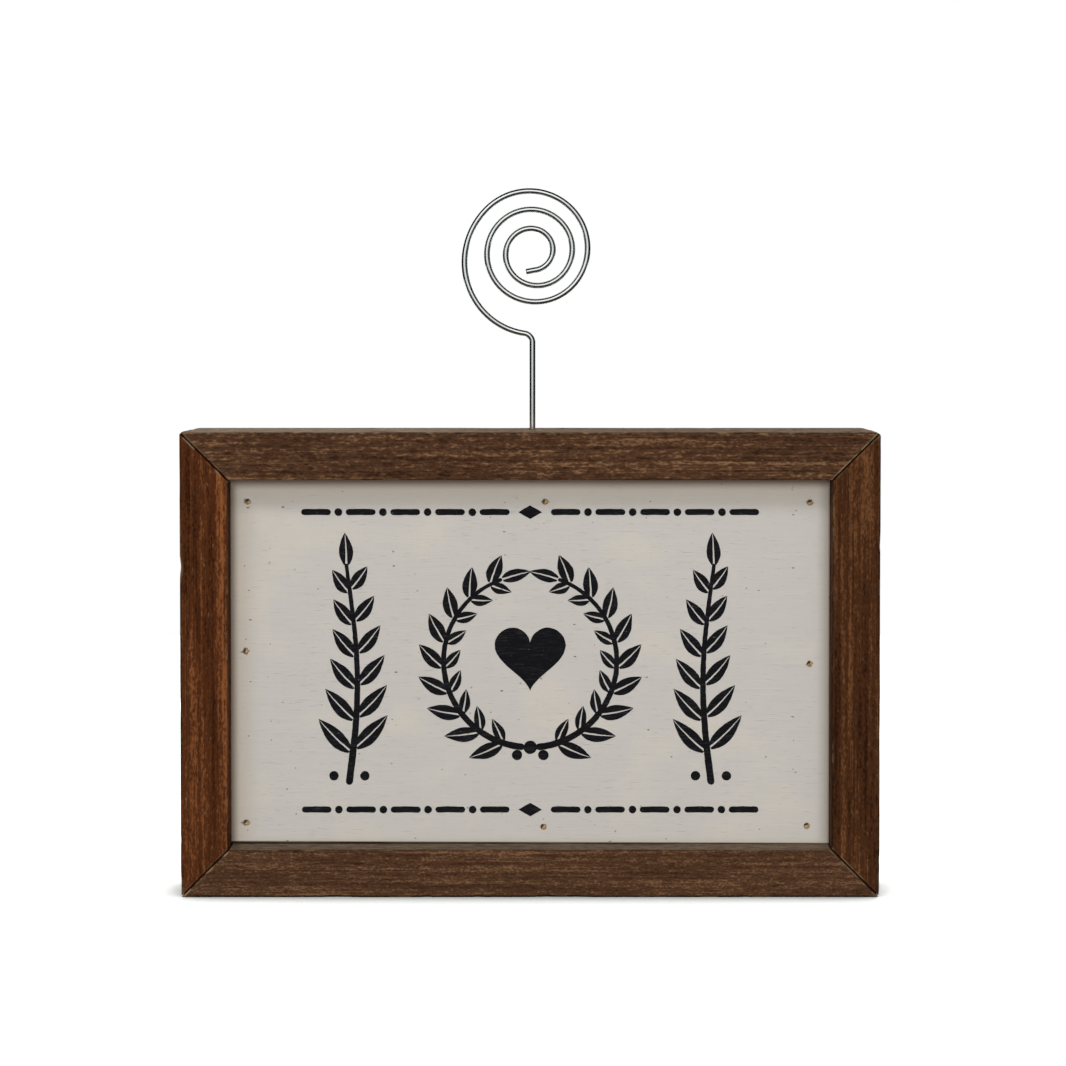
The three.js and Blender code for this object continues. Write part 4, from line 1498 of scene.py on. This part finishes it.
def build_ornament(board):
    """The printed ornament: a thin layer of ink on the board, of plain leaves, berries and rules."""
    half_width = board.ornament_width / MM / 2
    half_height = board.ornament_height / MM / 2
    outlines = wreath(half_height * WREATH_SHARE)
    outlines.append(heart(0, HEART_UP, half_height * HEART_SHARE))
    bottom, top = (half_height * SPRIG_SHARES[key] for key in ("bottom", "top"))
    for side in (1, -1):
        outlines += sprig(side * half_width * SPRIG_SHARES["side"], bottom, top, -side)
    for side in (1, -1):
        outlines += rule(half_width, side * half_height * RULE_SHARE)
    outlines = [roughened(outline) for outline in outlines]
    points = [Vector(point) for outline in outlines for point in outline]
    index = iter(range(len(points)))
    loops = [list(itertools.islice(index, len(outline))) for outline in outlines]
    flat, _, triangles, *_ = delaunay_2d_cdt(points, [], loops, 1, WELD_DISTANCE)
    centres = np.array([np.mean([flat[corner] for corner in face], axis=0) for face in triangles])
    inked = covered(centres, outlines)
    faces = [tuple(face) for face, is_ink in zip(triangles, inked) if is_ink]
    low, high = BOARD_BOX
    x = np.array([point.x for point in flat]) * MM + (low.x + high.x) / 2
    z = np.array([point.y for point in flat]) * MM + (low.z + high.z) / 2
    surface = board_front(x, z)
    count = len(flat)
    both = np.vstack([
        rows(x, surface - board.ink_thickness, z), rows(x, surface + board.ink_thickness / 2, z)
    ])
    edges = {(a, b) for face in faces for a, b in zip(face, face[1:] + face[:1])}
    rim = [(a, b) for a, b in edges if (b, a) not in edges]
    faces += [tuple(corner + count for corner in reversed(face)) for face in faces]
    faces += [(a, a + count, b + count, b) for a, b in rim]
    used = sorted({corner for face in faces for corner in face})
    renumber = {old: new for new, old in enumerate(used)}
    faces = [tuple(renumber[corner] for corner in face) for face in faces]
    piece = add_object("printed_ornament", both[used], faces)
    piece.data.materials.append(print_ink(board))
    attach(piece, "sign")


def finish_brads(metal):
    """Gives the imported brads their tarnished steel."""
    finish = tarnished_steel(metal)
    for name in brads_named("board_brad_", "mitre_brad_", "cleat_brad_"):
        brad = frame["nodes"][name]
        brad.data.materials.clear()
        brad.data.materials.append(finish)


# Photo clip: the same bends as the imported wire's, in metres and degrees, on finer rings
STEM_FOOT_DEPTH = 8.3 * MM
STEM_HEIGHT = 19.1 * MM
NECK_BEND = (81.5, 2.1 * MM, 2.1 * MM)
SWEEP_BEND = (-127.0, 15.0 * MM, 17.0 * MM)
COIL_TURN = 934.0
COIL_RADII = [13.5, 12.25, 10.5, 9.5, 7.9, 6.4, 4.7, 4.4]
TAIL_LENGTH = 2.3 * MM
DEGREES_PER_RING = 2.5
STRAIGHT_STEP = 0.8 * MM
WIRE_SIDES = 28
WIRE_CHAMFER = 0.09 * MM
WIRE_SHARP_DEGREES = 40
BURR_LENGTH = 0.26 * MM
TOOL_MARK_PLACE = 30.2 * MM
TOOL_MARK_LENGTH = 0.45 * MM
TOOL_MARK_DEPTH = 0.06 * MM
TOOL_MARK_SIDE = (0.4, 0.9)


def wire_route():
    """The wire's middle line in X and Z from its foot, and its heading, as rows."""
    stations = [(0.0, 0.0, math.pi / 2)]

    def advance(length, turn):
        x, z, heading = stations[-1]
        stations.append((
            x + length * math.cos(heading + turn / 2),
            z + length * math.sin(heading + turn / 2),
            heading + turn,
        ))

    def straight(length):
        steps = max(1, round(length / STRAIGHT_STEP))
        for _ in range(steps):
            advance(length / steps, 0.0)

    def bend(degrees, start_radius, end_radius):
        rings = math.ceil(abs(degrees) / DEGREES_PER_RING)
        turn = math.radians(degrees) / rings
        for ring in range(rings):
            radius = start_radius + (end_radius - start_radius) * (ring + 0.5) / rings
            advance(2 * radius * math.sin(abs(turn) / 2), turn)

    straight(STEM_FOOT_DEPTH + STEM_HEIGHT)
    bend(*NECK_BEND)
    bend(*SWEEP_BEND)
    stages = len(COIL_RADII) - 1
    for first, second in itertools.pairwise(COIL_RADII):
        bend(-COIL_TURN / stages, first * MM, second * MM)
    straight(TAIL_LENGTH)
    return np.array(stations)


def build_photo_clip(metal):
    """The bent wire: one smooth tube with cut ends, which stands in the top rail."""
    route = wire_route()
    stem = stem_mouth()
    radius = wire_radius() - metal.wire_shrink
    run = rows(np.cos(route[:, 2]), 0.0, np.sin(route[:, 2]))
    inward = rows(-run[:, 2], 0.0, run[:, 0])
    middle = rows(stem.x + route[:, 0], stem.y, WIRE_BOX[0].z + route[:, 1])
    steps = np.linalg.norm(np.diff(middle, axis=0), axis=1)
    along = np.concatenate([[0], np.cumsum(steps)])

    # The cut ends have a small chamfer and a burr, so each gets two more rings
    near_end = np.array([0, WIRE_CHAMFER, BURR_LENGTH])
    far_end = near_end[::-1, None]
    start = middle[0] + near_end[:, None] * run[0]
    middle = np.vstack([start, middle[1:-1], middle[-1] - far_end * run[-1]])
    repeats = np.ones(len(route), int)
    repeats[[0, -1]] = len(near_end)
    inward = np.repeat(inward, repeats, axis=0)
    along = np.concatenate([near_end, along[1:-1], along[-1] - near_end[::-1]])
    to_end = np.minimum(along, along[-1] - along)
    burr = 1 - ramp(to_end, WIRE_CHAMFER, BURR_LENGTH)

    angles = full_turn(WIRE_SIDES)
    circle = np.stack([np.cos(angles), np.sin(angles)], axis=1)
    depth = np.array([0.0, 1.0, 0.0])
    tool_mark = np.exp(-(((along - TOOL_MARK_PLACE) / TOOL_MARK_LENGTH) ** 2))[:, None]
    tool_mark = tool_mark * ramp(circle[:, 0], *TOOL_MARK_SIDE)
    chamfer = np.where(to_end <= 0, WIRE_CHAMFER, 0.0)[:, None]
    radii = radius - chamfer - TOOL_MARK_DEPTH * tool_mark
    across = circle[None, :, :1] * inward[:, None] + circle[None, :, 1:] * depth
    rings = middle[:, None] + radii[:, :, None] * across
    points = np.concatenate([rings.reshape(-1, 3), middle[:1], middle[-1:]])
    piece = add_object("bright_wire_clip", points, tube_faces(len(middle), WIRE_SIDES))
    round_wire = np.tile(circle * radius, (len(middle), 1))
    in_wire = rows(np.repeat(along, WIRE_SIDES), round_wire[:, 0], round_wire[:, 1])
    ends = [[along[0], 0, 0], [along[-1], 0, 0]]
    store(piece, "in_wire", np.vstack([in_wire, ends]) / MM)
    store(piece, "burr", np.append(np.maximum(burr[:, None], tool_mark), [0.0, 0.0]))
    shade(piece, WIRE_SHARP_DEGREES)
    piece.data.materials.append(drawn_steel(metal))
    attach(piece, "clip")
    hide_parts("photo_clip")


# Stage
FLOOR_REACH = 0.5
FLOOR_THICKNESS = 0.02
FLOOR_CLOUD = ((30, 30), 2.0, 0.5, 1.1)
FLOOR_TINT = 0.985
FLOOR_GLOW = 0.62
FLOOR_BOUNCE = 0.3
# The painted contact shadow in the floor's glow: how far occlusion is looked for, how dark it gets, where
# it starts and ends, and its samples
CONTACT_REACH = 14 * MM
CONTACT_SHADOW_LEVEL = 0.16
CONTACT_OPENNESS = (0.5, 0.9)
CONTACT_SAMPLES = 8
WORLD_LEVEL = 0.12
CAMERA_RIGHT = 0.62 * MM
CAMERA_PIXELS = 3507.0
CAMERA_TILT_DEGREES = 2.13
CAMERA_SHIFT = -0.15
CAMERA_CLIP = (0.01, 20.0)
LAMP_AIM = Vector((0.0, 0.0, 0.06))

# Soft lamps: where each stands, its width and height, and its watts
LAMPS = {
    "fill_softbox": ((0.05, -1.1, 0.14), (0.84, 0.3), 8.6),
    "key_softbox": ((-0.14, -1.0, 1.0), (1.42, 0.27), 6.6),
    "left_softbox": ((-1.0, 0.25, 0.32), (0.5, 0.5), 4.4),
    "right_softbox": ((1.0, 0.25, 0.32), (0.5, 0.5), 4.4),
    "back_softbox": ((0.25, 1.0, 0.72), (0.8, 0.5), 7.5),
}

# Cards that only shiny things see, as a photographer sets round bright metal: low and high corners, tone
BLACK = (0.012, 0.012, 0.013)
DUSK = (0.1, 0.1, 0.1)
WHITE = (1.36, 1.4, 1.38)
CARDS = {
    "dark_card_left": ((-0.62, -0.72, -0.01), (-0.6, 0.9, 0.8), BLACK),
    "dark_card_right": ((0.6, -0.78, -0.01), (0.62, 0.9, 0.8), BLACK),
    "dark_card_back": ((-0.6, 0.88, -0.01), (0.6, 0.9, 0.8), BLACK),
    "dark_card_above": ((-0.6, -0.76, 0.8), (0.6, 0.9, 0.82), BLACK),
    "dusk_card_below": ((-0.6, -0.62, 0.0004), (0.6, -0.3, 0.0006), DUSK),
    "dark_card_below": ((-0.6, -0.3, 0.0004), (0.6, 0.2, 0.0006), BLACK),
    "white_card_back": ((-0.45, 0.86, 0.2), (0.45, 0.87, 0.7), WHITE),
}
BOX_FACES = ((0, 1, 3, 2), (2, 3, 7, 6), (6, 7, 5, 4), (4, 5, 1, 0), (2, 6, 4, 0), (7, 3, 1, 5))

# The card behind the camera: its corners, its rises with height (from, to, share), and its fall rightward
GRADED_CARD = ((-2.2, -1.21, -0.9), (2.2, -1.2, 2.4))
GRADED_LEVELS = ((-400, -20, 0.42), (-60, 320, 0.56))
GRADED_LEAST = 0.02
GRADED_ACROSS = (60, 1100)
GRADED_FALL = 0.7


def card_finish(name, colour):
    """An even glow for a card."""
    finish = new_finish(name)
    return finish.show(finish.node("ShaderNodeEmission", None, {"Color": rgba(colour)}))


def graded_card_finish():
    """The glow of the card behind the camera: dim below and at the right, bright above."""
    finish = new_finish("graded_card")
    place = finish.millimetres()
    across = finish.node("ShaderNodeSeparateXYZ", None, {0: place})
    height = finish.node("ShaderNodeSeparateXYZ", None, {0: place}, output=2)
    level = sum(height.ramp(low, high) * share for low, high, share in GRADED_LEVELS)
    level = (level + GRADED_LEAST) * (1 - across.ramp(*GRADED_ACROSS) * GRADED_FALL)
    colour = finish.blend(level, BLACK, WHITE)
    return finish.show(finish.node("ShaderNodeEmission", None, {"Color": colour}))


def build_stage(stage):
    """The pale floor, the soft lamps, the cards that only shiny things see, and the camera."""
    floor_low = (-FLOOR_REACH, -FLOOR_REACH, -FLOOR_THICKNESS)
    slabs = {"floor": (floor_low, (FLOOR_REACH, FLOOR_REACH, 0.0), studio_floor(stage))}
    for name, (low, high, colour) in CARDS.items():
        slabs[name] = (low, high, card_finish(name, colour))
    slabs["graded_card"] = (*GRADED_CARD, graded_card_finish())
    for name, (low, high, finish) in slabs.items():
        slab = add_object(name, list(itertools.product(*zip(low, high))), BOX_FACES)
        slab.data.materials.append(finish)
        for rays in ("camera", "diffuse", "shadow", "transmission"):
            setattr(slab, f"visible_{rays}", name == "floor")

    for name, (place, size, watts) in LAMPS.items():
        light = bpy.data.lights.new(name, "AREA")
        light.shape = "RECTANGLE"
        light.size, light.size_y = size
        light.energy = watts
        holder = bpy.data.objects.new(name, light)
        holder.location = place
        holder.visible_glossy = False
        holder.visible_camera = False
        holder.rotation_mode = "QUATERNION"
        holder.rotation_quaternion = (LAMP_AIM - Vector(place)).to_track_quat("-Z", "Y")
        bpy.context.scene.collection.objects.link(holder)

    world = Finish(bpy.data.worlds.new("studio"))
    level = background_rays(world) * (1 - WORLD_LEVEL) + WORLD_LEVEL
    light = world.node("ShaderNodeBackground", None, {"Color": (1, 1, 1, 1), "Strength": level})
    bpy.context.scene.world = world.show(light, "ShaderNodeOutputWorld")

    front = TOP_RAIL_BOX[0].y
    data = bpy.data.cameras.new("camera")
    data.sensor_width = SENSOR_WIDTH
    data.lens = CAMERA_PIXELS / PHOTO_PIXELS * SENSOR_WIDTH
    data.shift_y = CAMERA_SHIFT
    data.clip_start, data.clip_end = CAMERA_CLIP
    camera = bpy.data.objects.new("camera", data)
    camera.location = (CAMERA_RIGHT, front - stage.camera_distance, stage.camera_height)
    camera.rotation_euler = (math.radians(90 - CAMERA_TILT_DEGREES), 0.0, 0.0)
    bpy.context.scene.collection.objects.link(camera)
    bpy.context.scene.camera = camera
    bpy.context.scene.view_settings.view_transform = "Standard"


class HOLDER_OT_frame_members(bpy.types.Operator):
    """Make the four stained and mitred frame members"""

    bl_idname = "holder.frame_members"
    bl_label = "Frame members"

    def execute(self, context):
        build_frame_members(context.scene.holder_wood)
        return {"FINISHED"}


class HOLDER_OT_cleats(bpy.types.Operator):
    """Make the four raw cleats behind the board"""

    bl_idname = "holder.cleats"
    bl_label = "Cleats"

    def execute(self, context):
        build_cleats(context.scene.holder_wood)
        return {"FINISHED"}


class HOLDER_OT_board(bpy.types.Operator):
    """Make the painted board"""

    bl_idname = "holder.board"
    bl_label = "Painted board"

    def execute(self, context):
        build_board(context.scene.holder_board)
        return {"FINISHED"}


class HOLDER_OT_fillers(bpy.types.Operator):
    """Make the filler over the board's brad heads"""

    bl_idname = "holder.fillers"
    bl_label = "Brad fillers"

    def execute(self, context):
        build_fillers(context.scene.holder_board)
        return {"FINISHED"}


class HOLDER_OT_ornament(bpy.types.Operator):
    """Make the printed ornament on the board"""

    bl_idname = "holder.ornament"
    bl_label = "Printed ornament"

    def execute(self, context):
        build_ornament(context.scene.holder_board)
        return {"FINISHED"}


class HOLDER_OT_brads(bpy.types.Operator):
    """Give the brads their finish"""

    bl_idname = "holder.brads"
    bl_label = "Brads"

    def execute(self, context):
        finish_brads(context.scene.holder_metal)
        return {"FINISHED"}


class HOLDER_OT_photo_clip(bpy.types.Operator):
    """Make the spiral wire photo clip"""

    bl_idname = "holder.photo_clip"
    bl_label = "Photo clip"

    def execute(self, context):
        build_photo_clip(context.scene.holder_metal)
        return {"FINISHED"}


class HOLDER_OT_stage(bpy.types.Operator):
    """Make the floor, the lamps and the camera"""

    bl_idname = "holder.stage"
    bl_label = "Stage"

    def execute(self, context):
        build_stage(context.scene.holder_stage)
        return {"FINISHED"}


OPERATORS = (
    HOLDER_OT_frame_members,
    HOLDER_OT_cleats,
    HOLDER_OT_board,
    HOLDER_OT_fillers,
    HOLDER_OT_ornament,
    HOLDER_OT_brads,
    HOLDER_OT_photo_clip,
    HOLDER_OT_stage,
)
SETTINGS = {
    "holder_wood": HolderWoodSettings,
    "holder_board": HolderBoardSettings,
    "holder_metal": HolderMetalSettings,
    "holder_stage": HolderStageSettings,
}


class HOLDER_PT_sidebar(bpy.types.Panel):
    """The picture holder's pieces and settings"""

    bl_idname = "HOLDER_PT_sidebar"
    bl_label = "Picture Holder"
    bl_space_type = "VIEW_3D"
    bl_region_type = "UI"
    bl_category = "Picture Holder"

    def draw(self, context):
        for operator in OPERATORS:
            self.layout.operator(operator.bl_idname)
        for name, group in SETTINGS.items():
            box = self.layout.box()
            settings = getattr(context.scene, name)
            for key in group.__annotations__:
                box.prop(settings, key)


def register():
    """Registers the settings, the operators and the panel."""
    for name, group in SETTINGS.items():
        bpy.utils.register_class(group)
        setattr(bpy.types.Scene, name, bpy.props.PointerProperty(type=group))
    for operator in OPERATORS:
        bpy.utils.register_class(operator)
    bpy.utils.register_class(HOLDER_PT_sidebar)


def unregister():
    """Takes away what register added."""
    bpy.utils.unregister_class(HOLDER_PT_sidebar)
    for operator in reversed(OPERATORS):
        bpy.utils.unregister_class(operator)
    for name, group in reversed(SETTINGS.items()):
        delattr(bpy.types.Scene, name)
        bpy.utils.unregister_class(group)


def main():
    """Makes every piece in turn."""
    register()
    bpy.ops.holder.frame_members()
    bpy.ops.holder.cleats()
    bpy.ops.holder.board()
    bpy.ops.holder.fillers()
    bpy.ops.holder.ornament()
    bpy.ops.holder.brads()
    bpy.ops.holder.photo_clip()
    bpy.ops.holder.stage()
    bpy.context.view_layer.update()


if __name__ == "__main__":
    main()
